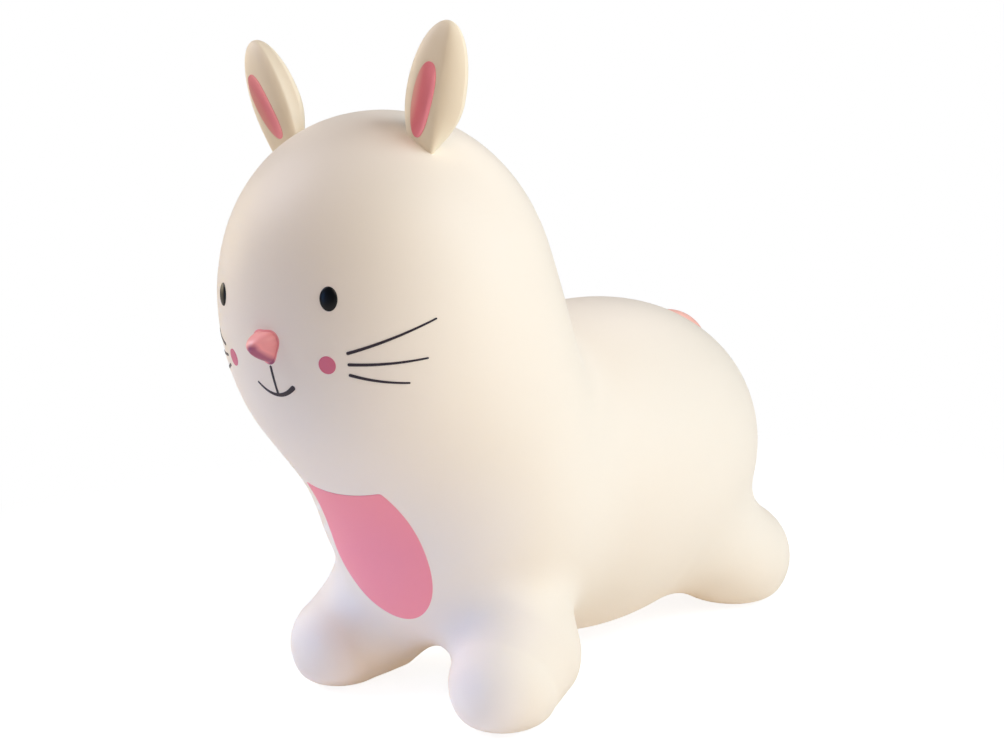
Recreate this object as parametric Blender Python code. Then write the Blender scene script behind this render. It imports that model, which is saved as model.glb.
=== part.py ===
"""Bouncy ride-on rabbit: an inflatable vinyl hopper. Metres, +Z up, it faces -Y and stands on z = 0."""

import math

import bmesh
import bpy
import numpy as np
from mathutils import Matrix, Vector

# Fits and clearances
TOUCH_GAP = 0.0003
OVERRUN = 0.006

# The blown-up form: three eggs and four legs that swell into each other
HEAD_HALF_WIDTH = 0.1250
HEAD_HALF_DEPTH = 0.1202
HEAD_HALF_HEIGHT = 0.1430
HEAD_FORWARD = 0.1445
HEAD_HEIGHT = 0.306
HEAD_TILT = math.radians(8)
HEAD_SQUARENESS = 2.07

CHEST_HALF_WIDTH = 0.121
CHEST_HALF_DEPTH = 0.100
CHEST_HALF_HEIGHT = 0.155
CHEST_FORWARD = 0.0880
CHEST_HEIGHT = 0.184
CHEST_TILT = math.radians(4)
TRUNK_SQUARENESS = 2.0

RUMP_HALF_WIDTH = 0.128
RUMP_HALF_DEPTH = 0.201
RUMP_HALF_HEIGHT = 0.1388
RUMP_BACK = 0.0765
RUMP_HEIGHT = 0.1475
RUMP_TILT = math.radians(2.8)

FRONT_TOE_RADIUS = 0.0410
FRONT_TOE_SIDE = 0.0855
FRONT_TOE_FORWARD = 0.1365
FRONT_HEEL_RADIUS = 0.048
FRONT_HEEL_SIDE = 0.0775
FRONT_HEEL_FORWARD = 0.1110
FRONT_HEEL_HEIGHT = 0.045

REAR_FOOT_RADIUS = 0.0505
REAR_FOOT_SIDE = 0.0695
REAR_FOOT_BACK = 0.2065
REAR_HIP_RADIUS = 0.052
REAR_HIP_SIDE = 0.054
REAR_HIP_BACK = 0.1275
REAR_HIP_HEIGHT = 0.090

NECK_FILLET = 0.046
BACK_FILLET = 0.038
FRONT_LEG_FILLET = 0.033
REAR_LEG_FILLET = 0.030
SOLE_CUT = 0.0095

WALL = 0.0022
FACET = 0.0192

# Ears: fat leaves that lean outward, narrow at the root and dished at the front
EAR_HALF_WIDTH = 0.0207
EAR_FRONT_THICKNESS = 0.0142
EAR_BACK_THICKNESS = 0.0169
EAR_HALF_LENGTH = 0.0499
EAR_IN_FROM_HEAD_SIDE = 0.0436
EAR_AHEAD_OF_HEAD_CENTRE = 0.0249
EAR_ROOT_BELOW_CROWN = 0.0415
EAR_SIDE = HEAD_HALF_WIDTH - EAR_IN_FROM_HEAD_SIDE
EAR_FORWARD = HEAD_FORWARD + EAR_AHEAD_OF_HEAD_CENTRE
EAR_HEIGHT = HEAD_HEIGHT + HEAD_HALF_HEIGHT + EAR_HALF_LENGTH - EAR_ROOT_BELOW_CROWN
EAR_LEAN = math.radians(20.9)
EAR_NOD = math.radians(2.4)
EAR_TURN = math.radians(3.8)
EAR_FRONT_SQUARENESS = 2.5
EAR_BACK_SQUARENESS = 2.3
EAR_FRONT_INWARD = 0.0038
EAR_ROOT_TAPER_SHARE = 0.68
EAR_DISH_HALF_WIDTH = 0.0084
EAR_DISH_HALF_LENGTH = 0.0288
EAR_DISH_DEPTH = 0.0032
EAR_DISH_SET_BACK = 0.0010
EAR_DISH_DROP = 0.0030
EAR_DISH_INWARD = 0.0021
EAR_DISH_SLANT = math.radians(5.9)
EAR_DISH_NOD = math.radians(1.2)
EAR_LINING = 0.0008

# Nose and tail
NOSE_RADIUS = 0.0122
NOSE_STAND = 0.0158
NOSE_FULLNESS = 1.5
NOSE_BELOW_HEAD_CENTRE = 0.0118
NOSE_HEIGHT = HEAD_HEIGHT - NOSE_BELOW_HEAD_CENTRE
NOSE_CORNER_SHARE = 0.13
TAIL_RADIUS = 0.031
TAIL_STAND = 0.0140
DOME_FULLNESS = 2.0
TAIL_ABOVE_RUMP_CENTRE = math.radians(33.5)

# Marks on the face: their turn is round the head's upright axis, from straight ahead
EYE_HALF_WIDTH = 0.0064
EYE_HALF_HEIGHT = 0.0082
EYE_STAND = 0.0016
EYE_TURN = math.radians(26)
EYE_ABOVE_HEAD_CENTRE = 0.0200
EYE_HEIGHT = HEAD_HEIGHT + EYE_ABOVE_HEAD_CENTRE
PAINT = 0.0004
CHEEK_RADIUS = 0.0062
CHEEK_TURN = math.radians(23.5)
CHEEK_TO_EYE = 0.0299
CHEEK_HEIGHT = EYE_HEIGHT - EYE_HALF_HEIGHT - CHEEK_TO_EYE - CHEEK_RADIUS

LIP_GAP = 0.0005
LIP_DROP = 0.0215
LIP_LINE = 0.0012
SMILE_HALF_WIDTH = 0.0190
SMILE_RISE = 0.0085
SMILE_LINE = 0.0021
SMILE_TIP_LINE = 0.0016

WHISKER_ROOT_LINE = 0.0020
WHISKER_TIP_LINE = 0.0011
WHISKER_TURN_PAST_CHEEK = math.radians(6.9)
WHISKER_ROOT_TURN = CHEEK_TURN + WHISKER_TURN_PAST_CHEEK
MIDDLE_WHISKER_ABOVE_CHEEK = 0.0003
MIDDLE_WHISKER_RISE = 0.0020
MIDDLE_WHISKER_SWEEP = math.radians(25.6)
MIDDLE_WHISKER_ROOT_HEIGHT = CHEEK_HEIGHT + MIDDLE_WHISKER_ABOVE_CHEEK
MIDDLE_WHISKER_TIP_HEIGHT = MIDDLE_WHISKER_ROOT_HEIGHT + MIDDLE_WHISKER_RISE
TOP_WHISKER_ROOT_GAP = 0.0054
TOP_WHISKER_TIP_GAP = 0.0249
TOP_WHISKER_SWEEP = math.radians(28.6)
TOP_WHISKER_ROOT_HEIGHT = MIDDLE_WHISKER_ROOT_HEIGHT + WHISKER_ROOT_LINE + TOP_WHISKER_ROOT_GAP
TOP_WHISKER_TIP_HEIGHT = MIDDLE_WHISKER_TIP_HEIGHT + WHISKER_TIP_LINE + TOP_WHISKER_TIP_GAP
LOW_WHISKER_ROOT_GAP = 0.0050
LOW_WHISKER_TIP_GAP = 0.0152
LOW_WHISKER_SWEEP = math.radians(19.6)
LOW_WHISKER_ROOT_HEIGHT = MIDDLE_WHISKER_ROOT_HEIGHT - WHISKER_ROOT_LINE - LOW_WHISKER_ROOT_GAP
LOW_WHISKER_TIP_HEIGHT = MIDDLE_WHISKER_TIP_HEIGHT - WHISKER_TIP_LINE - LOW_WHISKER_TIP_GAP

CHEST_PATCH_HALF_WIDTH = 0.050
CHEST_PATCH_BELOW_CHEST_CENTRE = 0.061
CHEST_PATCH_DROP = 0.052
CHEST_PATCH_RISE = 0.074
CHEST_PATCH_CUT_RISE = 0.0575
CHEST_PATCH_WIDEST_HEIGHT = CHEST_HEIGHT - CHEST_PATCH_BELOW_CHEST_CENTRE
CHEST_PATCH_TOP_HEIGHT = CHEST_PATCH_WIDEST_HEIGHT + CHEST_PATCH_CUT_RISE

# Air valve in the belly, on the centre plane
VALVE_FORWARD = 0.0445
BOSS_RADIUS = 0.0165
BOSS_STAND = 0.0006
SKIN_HOLE_RADIUS = 0.0080
SEAT_FLANGE_RADIUS = 0.0130
SEAT_FLANGE_THICKNESS = 0.0018
SEAT_COLLAR_RADIUS = 0.0105
SEAT_COLLAR_HEIGHT = 0.0022
PLUG_HEAD_RADIUS = 0.0090
PLUG_HEAD_THICKNESS = 0.0020
PLUG_STEM_RADIUS = 0.0045
PLUG_TIP_RADIUS = 0.0028
PLUG_STEM_LENGTH = 0.0150
PLUG_RIB_COUNT = 3
PLUG_PLAIN_PITCHES = 2
PLUG_RIB_RISE = 0.0006
RIB_LOW_SHARE = 0.5
RIB_PEAK_SHARE = 0.8
RIB_TOP_SHARE = 1.4
RUBBER_EDGE = 0.0005

# Mesh counts and numerical steps
SETTLE_ROUNDS = 6
RELAX_ROUNDS = 6
RELAX_SHARE = 0.5
MARCH_ROUNDS = 80
BALL_DETAIL = 4
ROUND_SIDES = 24
DOME_SIDES = 20
DOME_RINGS = 4
EAR_SIDES = 18
EAR_RINGS = 10
ARC_STEPS = 6
OVAL_STEPS = 16
PROBE = 0.0002
SAME_PLACE = 0.00002
LEAST_REACH = 1e-9

# Colours, as shown on a screen from 0 to 1
CREAM = (0.965, 0.925, 0.865)
PINK = (0.890, 0.560, 0.640)
LINING_PINK = (0.860, 0.470, 0.500)
NOSE_PINK = (0.900, 0.500, 0.540)
TAIL_PINK = (0.950, 0.640, 0.640)
CHEEK_PINK = (0.800, 0.430, 0.520)
INK = (0.120, 0.095, 0.150)
EYE_BLACK = (0.030, 0.040, 0.055)
RUBBER_WHITE = (0.900, 0.885, 0.860)

CENTRE_TO_FRONT = Vector((0, -1, 0))
UP = Vector((0, 0, 1))


def clear_scene():
    for item in list(bpy.data.objects):
        bpy.data.objects.remove(item, do_unlink=True)


def to_linear(colour):
    return tuple(((part + 0.055) / 1.055) ** 2.4 if part > 0.04 else part / 12.92 for part in colour)


def make_material(name, colour, roughness):
    material = bpy.data.materials.new(name)
    material.use_nodes = True
    shader = material.node_tree.nodes["Principled BSDF"]
    shader.inputs["Base Color"].default_value = (*to_linear(colour), 1.0)
    shader.inputs["Roughness"].default_value = roughness
    return material


def add_object(name, mesh, material=None):
    item = bpy.data.objects.new(name, mesh)
    bpy.context.scene.collection.objects.link(item)
    if material:
        item.data.materials.append(material)
        for face in item.data.polygons:
            face.use_smooth = True
    return item


def make_helper(item):
    """A cutter stays out of the model and shows only as wires."""
    item.hide_render = True
    item.display_type = "WIRE"
    return item


def mesh_from(shape, name):
    bmesh.ops.recalc_face_normals(shape, faces=shape.faces)
    mesh = bpy.data.meshes.new(name)
    shape.to_mesh(mesh)
    shape.free()
    return mesh


def boolean(item, other, operation):
    step = item.modifiers.new(other.name, "BOOLEAN")
    step.operation = operation
    step.object = other


# The form: a field that is zero on the skin, negative inside and about true to distance near it


def egg(points, back, height, sizes, tilt, squareness):
    """An egg lying along the centre plane; a squareness of 2 is a plain ellipsoid, and more fills its corners."""
    local = points - np.array([0, back, height])
    along = local[:, 1] * math.cos(tilt) + local[:, 2] * math.sin(tilt)
    upward = local[:, 2] * math.cos(tilt) - local[:, 1] * math.sin(tilt)
    sizes = np.array(sizes)
    shares = np.abs(np.stack([local[:, 0], along, upward], axis=1)) / sizes
    reach = np.maximum(np.sum(shares**squareness, axis=1), LEAST_REACH) ** (1 / squareness)
    lean = (shares / reach[:, None]) ** (squareness - 1) / sizes
    return (reach - 1) / np.linalg.norm(lean, axis=1)


def round_cone(points, start, end, start_radius, end_radius):
    start = np.array(start)
    along = np.array(end) - start
    share = np.clip((points - start) @ along / (along @ along), 0, 1)
    middle = start + share[:, None] * along
    radius = start_radius + share * (end_radius - start_radius)
    return np.linalg.norm(points - middle, axis=1) - radius


def swell(one, other, fillet):
    """The two fields joined, with a smooth hollow as deep as the fillet allows."""
    nearness = np.maximum(fillet - np.abs(one - other), 0) / fillet
    return np.minimum(one, other) - nearness * nearness * fillet / 4


def eggs():
    """Head, chest and rump: place, half sizes, tilt and squareness of each."""
    head = (HEAD_HALF_WIDTH, HEAD_HALF_DEPTH, HEAD_HALF_HEIGHT)
    chest = (CHEST_HALF_WIDTH, CHEST_HALF_DEPTH, CHEST_HALF_HEIGHT)
    rump = (RUMP_HALF_WIDTH, RUMP_HALF_DEPTH, RUMP_HALF_HEIGHT)
    return (
        (-HEAD_FORWARD, HEAD_HEIGHT, head, HEAD_TILT, HEAD_SQUARENESS),
        (-CHEST_FORWARD, CHEST_HEIGHT, chest, CHEST_TILT, TRUNK_SQUARENESS),
        (RUMP_BACK, RUMP_HEIGHT, rump, RUMP_TILT, TRUNK_SQUARENESS),
    )


def leg_ends():
    """The two round ends of the left front leg and of the left rear leg, each with its radius."""
    heel = (FRONT_HEEL_SIDE, -FRONT_HEEL_FORWARD, FRONT_HEEL_HEIGHT)
    toe = (FRONT_TOE_SIDE, -FRONT_TOE_FORWARD, FRONT_TOE_RADIUS - SOLE_CUT)
    hip = (REAR_HIP_SIDE, REAR_HIP_BACK, REAR_HIP_HEIGHT)
    foot = (REAR_FOOT_SIDE, REAR_FOOT_BACK, REAR_FOOT_RADIUS - SOLE_CUT)
    front = (heel, toe, FRONT_HEEL_RADIUS, FRONT_TOE_RADIUS)
    rear = (hip, foot, REAR_HIP_RADIUS, REAR_FOOT_RADIUS)
    return front, rear


def form(points):
    half = np.array(points, float)
    half[:, 0] = np.abs(half[:, 0])
    front, rear = leg_ends()
    head, chest, rump = (egg(half, *place) for place in eggs())
    field = swell(head, swell(chest, rump, BACK_FILLET), NECK_FILLET)
    field = swell(field, round_cone(half, *front), FRONT_LEG_FILLET)
    return swell(field, round_cone(half, *rear), REAR_LEG_FILLET)


def slope(points):
    """How the field changes along each axis at the points."""
    rows = []
    for axis in np.eye(3) * PROBE:
        rows.append((form(points + axis) - form(points - axis)) / (2 * PROBE))
    return np.stack(rows, axis=1)


def settled(points, level=0.0):
    """The points moved along the slope until they lie at the level, outside the skin if it is positive."""
    points = np.array(points, float)
    for _ in range(SETTLE_ROUNDS):
        lean = slope(points)
        excess = form(points) - level
        points -= excess[:, None] * lean / np.sum(lean * lean, axis=1)[:, None]
    return points


def outward_at(point):
    return Vector(slope(np.array([point]))[0]).normalized()


def touch(start, direction):
    """Where a straight line from outside first meets the skin."""
    point = np.array([start], float)
    for _ in range(MARCH_ROUNDS):
        point += form(point)[:, None] * np.array(direction)
    return Vector(point[0])


# The net of quads that every skin-like piece shares


def settle_net(net, level=0.0):
    spots = settled([vertex.co for vertex in net.verts], level)
    for vertex, spot in zip(net.verts, spots):
        vertex.co = spot


def add_ball(shape, centre, radius):
    place = Matrix.Translation(Vector(centre)) @ Matrix.Scale(radius, 4)
    return bmesh.ops.create_icosphere(shape, subdivisions=BALL_DETAIL, radius=1, matrix=place)["verts"]


def rough_form():
    """The eggs and legs as plain closed bodies that run through each other."""
    shape = bmesh.new()
    for back, height, sizes, tilt, _ in eggs():
        place = Matrix.Translation((0, back, height)) @ Matrix.Rotation(tilt, 4, "X")
        size = Matrix.Diagonal((*sizes, 1))
        bmesh.ops.create_icosphere(shape, subdivisions=BALL_DETAIL, radius=1, matrix=place @ size)
    for start, end, start_radius, end_radius in leg_ends():
        for side in (1, -1):
            leg = bmesh.new()
            add_ball(leg, (side * start[0], *start[1:]), start_radius)
            add_ball(leg, (side * end[0], *end[1:]), end_radius)
            bmesh.ops.convex_hull(leg, input=leg.verts)
            loose = [vertex for vertex in leg.verts if not vertex.link_faces]
            bmesh.ops.delete(leg, geom=loose, context="VERTS")
            part = bpy.data.meshes.new("leg")
            leg.to_mesh(part)
            leg.free()
            shape.from_mesh(part)
            bpy.data.meshes.remove(part)
    return mesh_from(shape, "rough_form")


def remeshed(mesh, facet):
    item = add_object("rough_form", mesh)
    step = item.modifiers.new("even quads", "REMESH")
    step.mode = "VOXEL"
    step.voxel_size = facet
    graph = bpy.context.evaluated_depsgraph_get()
    result = bpy.data.meshes.new_from_object(item.evaluated_get(graph))
    bpy.data.objects.remove(item, do_unlink=True)
    return result


def mirror_net(net):
    """The left half is kept, and its copy becomes the right half."""
    for vertex in net.verts:
        if abs(vertex.co.x) < PROBE:
            vertex.co.x = 0
    everything = net.verts[:] + net.edges[:] + net.faces[:]
    bmesh.ops.bisect_plane(net, geom=everything, dist=PROBE / 2, plane_no=(1, 0, 0), clear_inner=True)
    everything = net.verts[:] + net.edges[:] + net.faces[:]
    bmesh.ops.mirror(net, geom=everything, merge_dist=PROBE / 2, axis="X")
    wires = [edge for edge in net.edges if not edge.link_faces]
    bmesh.ops.delete(net, geom=wires, context="EDGES")


def skin_net():
    """Even quads all over the form, the same on both sides of the centre plane."""
    net = bmesh.new()
    net.from_mesh(remeshed(rough_form(), FACET))
    mirror_net(net)
    for _ in range(RELAX_ROUNDS):
        bmesh.ops.smooth_vert(
            net, verts=net.verts, factor=RELAX_SHARE, use_axis_x=True, use_axis_y=True, use_axis_z=True
        )
        settle_net(net)
    bmesh.ops.recalc_face_normals(net, faces=net.faces)
    return net


def cut_soles(net, height):
    """What lies below the height is cut off flat."""
    everything = net.verts[:] + net.edges[:] + net.faces[:]
    bmesh.ops.bisect_plane(
        net, geom=everything, dist=PROBE / 2, plane_co=(0, 0, height), plane_no=UP, clear_inner=True
    )
    rims = [edge for edge in net.edges if edge.is_boundary]
    bmesh.ops.holes_fill(net, edges=rims, sides=0)
    for vertex in net.verts:
        if abs(vertex.co.z - height) < PROBE:
            vertex.co.z = height


def skin_mesh(net):
    """The outer skin and the inner one, a wall apart, as one mesh."""
    outer = net.copy()
    cut_soles(outer, 0)
    inner = net.copy()
    settle_net(inner, -WALL)
    cut_soles(inner, WALL)
    bmesh.ops.recalc_face_normals(outer, faces=outer.faces)
    bmesh.ops.recalc_face_normals(inner, faces=inner.faces)
    bmesh.ops.reverse_faces(inner, faces=inner.faces)
    inside = bpy.data.meshes.new("inside")
    inner.to_mesh(inside)
    inner.free()
    outer.from_mesh(inside)
    bpy.data.meshes.remove(inside)
    mesh = bpy.data.meshes.new("body_skin")
    outer.to_mesh(mesh)
    outer.free()
    return mesh


def skin_cutter(net):
    """The solid form a touch gap outside the skin, which cuts the roots of what is bonded on."""
    grown = net.copy()
    settle_net(grown, TOUCH_GAP)
    return make_helper(add_object("skin_cutter", mesh_from(grown, "skin_cutter")))


# Valve


def valve_levels():
    """Heights of the boss's lower and upper face, from the belly round the valve."""
    centre = Vector((0, -VALVE_FORWARD, 0))
    heights = [touch(centre, UP).z]
    for turn in range(OVAL_STEPS):
        angle = math.tau * turn / OVAL_STEPS
        side = Vector((math.cos(angle), math.sin(angle), 0)) * BOSS_RADIUS
        heights.append(touch(centre + side, UP).z)
    return min(heights) - BOSS_STAND, max(heights) + WALL + BOSS_STAND


def turned(name, profile, material=None):
    """A solid of revolution about its own upright axis, from pairs of radius and height."""
    shape = bmesh.new()
    line = [shape.verts.new((radius, 0, height)) for radius, height in profile]
    sides = zip(line, line[1:] + line[:1])
    edges = [shape.edges.new(pair) for pair in sides if pair[0].co.x or pair[1].co.x]
    bmesh.ops.spin(
        shape,
        geom=line + edges,
        axis=UP,
        cent=(0, 0, 0),
        angle=math.tau,
        steps=ROUND_SIDES,
        use_merge=True,
    )
    bmesh.ops.remove_doubles(shape, verts=shape.verts, dist=SAME_PLACE)
    return add_object(name, mesh_from(shape, name), material)


def cylinder_profile(radius, low, high):
    return [(0, low), (radius, low), (radius, high), (0, high)]


def body_skin(net, material):
    skin = add_object("body_skin", skin_mesh(net), material)
    low, high = valve_levels()
    boss = make_helper(turned("valve_boss", cylinder_profile(BOSS_RADIUS, low, high)))
    hole = make_helper(
        turned("valve_hole", cylinder_profile(SKIN_HOLE_RADIUS, low - OVERRUN, high + OVERRUN))
    )
    for cutter in (boss, hole):
        cutter.location.y = -VALVE_FORWARD
    boolean(skin, boss, "UNION")
    boolean(skin, hole, "DIFFERENCE")
    return skin


def valve_seat(material):
    low, high = valve_levels()
    neck = SKIN_HOLE_RADIUS - TOUCH_GAP
    bore = PLUG_STEM_RADIUS + TOUCH_GAP
    flange_top = low - TOUCH_GAP
    flange_low = flange_top - SEAT_FLANGE_THICKNESS
    collar_low = high + TOUCH_GAP
    collar_top = collar_low + SEAT_COLLAR_HEIGHT
    profile = [
        (bore, flange_low),
        (SEAT_FLANGE_RADIUS - RUBBER_EDGE, flange_low),
        (SEAT_FLANGE_RADIUS, flange_low + RUBBER_EDGE),
        (SEAT_FLANGE_RADIUS, flange_top),
        (neck, flange_top),
        (neck, collar_low),
        (SEAT_COLLAR_RADIUS, collar_low),
        (SEAT_COLLAR_RADIUS, collar_low + RUBBER_EDGE),
        (neck, collar_top),
        (bore, collar_top),
    ]
    seat = turned("valve_seat", profile, material)
    seat.location.y = -VALVE_FORWARD
    return seat


def valve_plug(material):
    """Its origin is on the slide's axis, at the upper face of its head."""
    low, _ = valve_levels()
    neck = PLUG_STEM_RADIUS - PLUG_RIB_RISE
    pitch = PLUG_STEM_LENGTH / (PLUG_RIB_COUNT + PLUG_PLAIN_PITCHES)
    profile = [
        (0, -PLUG_HEAD_THICKNESS),
        (PLUG_HEAD_RADIUS - RUBBER_EDGE, -PLUG_HEAD_THICKNESS),
        (PLUG_HEAD_RADIUS, RUBBER_EDGE - PLUG_HEAD_THICKNESS),
        (PLUG_HEAD_RADIUS, -RUBBER_EDGE),
        (PLUG_HEAD_RADIUS - RUBBER_EDGE, 0),
        (neck, 0),
    ]
    for rib in range(PLUG_RIB_COUNT):
        profile.append((neck, pitch * (rib + RIB_LOW_SHARE)))
        profile.append((PLUG_STEM_RADIUS, pitch * (rib + RIB_PEAK_SHARE)))
        profile.append((neck, pitch * (rib + RIB_TOP_SHARE)))
    profile += [(PLUG_TIP_RADIUS, PLUG_STEM_LENGTH), (0, PLUG_STEM_LENGTH)]
    plug = turned("valve_plug", profile, material)
    plug.location = (0, -VALVE_FORWARD, low - SEAT_FLANGE_THICKNESS - 2 * TOUCH_GAP)
    return plug


# Ears


def ear_frame(side):
    lean = Matrix.Rotation(side * EAR_LEAN, 4, "Y")
    nod = Matrix.Rotation(EAR_NOD, 4, "X")
    turn = Matrix.Rotation(side * EAR_TURN, 4, "Z")
    return Matrix.Translation((side * EAR_SIDE, -EAR_FORWARD, EAR_HEIGHT)) @ lean @ nod @ turn


def ear_section(side, angle, root_share):
    """One point of the ear's section, at full size. It narrows to the root, where the share is 1.

    Its front is squarer than its back, and set toward the middle of the head."""
    across = math.cos(angle)
    back = math.sin(angle)
    front = back < 0
    power = 2 / (EAR_FRONT_SQUARENESS if front else EAR_BACK_SQUARENESS)
    narrow = 1 - EAR_ROOT_TAPER_SHARE * root_share * root_share
    wide = EAR_HALF_WIDTH * narrow * math.copysign(abs(across) ** power, across)
    reach = abs(back) ** power
    if front:
        return wide - side * EAR_FRONT_INWARD * reach * reach, -EAR_FRONT_THICKNESS * reach
    return wide, EAR_BACK_THICKNESS * narrow * reach


def ear_leaf(name, side, material=None):
    shape = bmesh.new()
    rings = []
    for step in range(1, EAR_RINGS):
        angle = math.pi * step / EAR_RINGS
        share = math.sin(angle)
        height = -EAR_HALF_LENGTH * math.cos(angle)
        root_share = max(math.cos(angle), 0)
        ring = []
        for turn in range(EAR_SIDES):
            across, back = ear_section(side, math.tau * turn / EAR_SIDES, root_share)
            ring.append(shape.verts.new((across * share, back * share, height)))
        rings.append(ring)
    for low, high in zip(rings, rings[1:]):
        for turn in range(EAR_SIDES):
            after = (turn + 1) % EAR_SIDES
            shape.faces.new((low[turn], low[after], high[after], high[turn]))
    for ring, height in ((rings[0], -EAR_HALF_LENGTH), (rings[-1], EAR_HALF_LENGTH)):
        pole = shape.verts.new((0, 0, height))
        for turn in range(EAR_SIDES):
            shape.faces.new((ring[turn], ring[(turn + 1) % EAR_SIDES], pole))
    leaf = add_object(name, mesh_from(shape, name), material)
    leaf.matrix_world = ear_frame(side)
    return leaf


def dish_body(name, side, shrink, material=None):
    """The oval that presses the dish into the ear's front, shrunk on every side by the given amount."""
    shape = bmesh.new()
    back = EAR_DISH_SET_BACK - EAR_FRONT_THICKNESS
    front = Matrix.Translation((-side * EAR_DISH_INWARD, back, -EAR_DISH_DROP))
    slant = Matrix.Rotation(side * EAR_DISH_SLANT, 4, "Y")
    nod = Matrix.Rotation(EAR_DISH_NOD, 4, "X")
    sizes = (EAR_DISH_HALF_WIDTH - shrink, EAR_DISH_DEPTH - shrink, EAR_DISH_HALF_LENGTH - shrink)
    bmesh.ops.create_uvsphere(
        shape,
        u_segments=EAR_SIDES,
        v_segments=EAR_RINGS,
        radius=1,
        matrix=front @ slant @ nod @ Matrix.Diagonal((*sizes, 1)),
    )
    body = add_object(name, mesh_from(shape, name), material)
    body.matrix_world = ear_frame(side)
    return body


def ear_with_lining(word, side, cutter, skin_material, lining_material):
    ear = ear_leaf(word + "_ear", side, skin_material)
    boolean(ear, cutter, "DIFFERENCE")
    boolean(ear, make_helper(dish_body(word + "_dish", side, 0)), "DIFFERENCE")
    lining = dish_body(word + "_ear_lining", side, TOUCH_GAP, lining_material)
    hollow = dish_body(word + "_lining_hollow", side, TOUCH_GAP + EAR_LINING)
    boolean(lining, make_helper(hollow), "DIFFERENCE")
    boolean(lining, make_helper(ear_leaf(word + "_ear_outline", side)), "INTERSECT")


# Bumps on the skin: nose, tail and eyes


def frame_on(point, normal):
    """Side, up and outward axes at a spot of the skin."""
    side = UP.cross(normal).normalized()
    up = normal.cross(side)
    frame = Matrix((side, up, normal)).transposed().to_4x4()
    return Matrix.Translation(point) @ frame


def face_spot(turn, height):
    """The spot of the face at this turn round the head's upright axis, and at this height."""
    outward = Vector((math.sin(turn), -math.cos(turn), 0))
    axis = Vector((0, -HEAD_FORWARD, height))
    return touch(axis + outward * 2 * HEAD_HALF_DEPTH, -outward)


def face_frame(turn, height):
    spot = face_spot(turn, height)
    return frame_on(spot, outward_at(spot))


def dome(name, frame, outline, stand, cutter, material, fullness=DOME_FULLNESS):
    """A low bump: its foot is sunk in the skin and cut off a touch gap outside it.

    A fullness of 2 makes its sides round. Less makes them straighter, up to a peak at 1."""
    shape = bmesh.new()
    levels = [-1] + [math.sin(math.pi / 2 * ring / DOME_RINGS) for ring in range(DOME_RINGS)]
    rings = []
    for level in levels:
        width = (1 - max(level, 0) ** fullness) ** (1 / fullness)
        height = stand * level
        rings.append([shape.verts.new((side * width, up * width, height)) for side, up in outline])
    count = len(outline)
    for low, high in zip(rings, rings[1:]):
        for turn in range(count):
            after = (turn + 1) % count
            shape.faces.new((low[turn], low[after], high[after], high[turn]))
    shape.faces.new(rings[0])
    top = shape.verts.new((0, 0, stand))
    for turn in range(count):
        shape.faces.new((rings[-1][turn], rings[-1][(turn + 1) % count], top))
    bump = add_object(name, mesh_from(shape, name), material)
    bump.matrix_world = frame
    boolean(bump, cutter, "DIFFERENCE")
    return bump


def oval(half_width, half_height, steps=OVAL_STEPS):
    angles = [math.tau * step / steps for step in range(steps)]
    return [(half_width * math.cos(angle), half_height * math.sin(angle)) for angle in angles]


def nose_outline():
    """A triangle with full round corners, one of them pointing down."""
    points = []
    for step in range(DOME_SIDES):
        angle = math.tau * step / DOME_SIDES
        corner = math.cos(3 * (angle + math.pi / 2))
        radius = NOSE_RADIUS * (1 + NOSE_CORNER_SHARE * corner)
        points.append((radius * math.cos(angle), radius * math.sin(angle)))
    return points


def nose(cutter, material):
    frame = face_frame(0, NOSE_HEIGHT)
    dome("nose", frame, nose_outline(), NOSE_STAND, cutter, material, NOSE_FULLNESS)


def tail(cutter, material):
    outward = Vector((0, math.cos(TAIL_ABOVE_RUMP_CENTRE), math.sin(TAIL_ABOVE_RUMP_CENTRE)))
    centre = Vector((0, RUMP_BACK, RUMP_HEIGHT))
    spot = touch(centre + outward * 2 * RUMP_HALF_DEPTH, -outward)
    outline = oval(TAIL_RADIUS, TAIL_RADIUS, DOME_SIDES)
    dome("tail", frame_on(spot, outward_at(spot)), outline, TAIL_STAND, cutter, material)


def eyes(cutter, material):
    for word, side in (("left", 1), ("right", -1)):
        frame = face_frame(side * EYE_TURN, EYE_HEIGHT)
        outline = oval(EYE_HALF_WIDTH, EYE_HALF_HEIGHT)
        dome(word + "_eye", frame, outline, EYE_STAND, cutter, material)


# Colour films: a sheet that follows the skin's facets, stamped out with the mark's outline


def film_blank(net, centre, reach):
    """A closed sheet over the skin round the centre, as thick as the paint and a touch gap off the skin."""
    sheet = net.copy()
    far = [face for face in sheet.faces if (face.calc_center_median() - centre).length > reach]
    bmesh.ops.delete(sheet, geom=far, context="FACES")
    grown = bmesh.ops.extrude_face_region(sheet, geom=sheet.faces[:], use_keep_orig=True)["geom"]
    above = {item for item in grown if isinstance(item, bmesh.types.BMVert)}
    spots = [vertex.co.copy() for vertex in sheet.verts]
    low = settled(spots, TOUCH_GAP)
    high = settled(spots, TOUCH_GAP + PAINT)
    for vertex, under, over in zip(sheet.verts, low, high):
        vertex.co = over if vertex in above else under
    return sheet


def stamp(name, outline, frame, depth):
    """A prism with the outline, square to the skin at the frame."""
    shape = bmesh.new()
    face = shape.faces.new([shape.verts.new((side, up, -depth)) for side, up in outline])
    raised = bmesh.ops.extrude_face_region(shape, geom=[face], use_keep_orig=True)["geom"]
    for item in raised:
        if isinstance(item, bmesh.types.BMVert):
            item.co.z = depth
    prism = add_object(name, mesh_from(shape, name))
    prism.matrix_world = frame
    return make_helper(prism)


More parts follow.
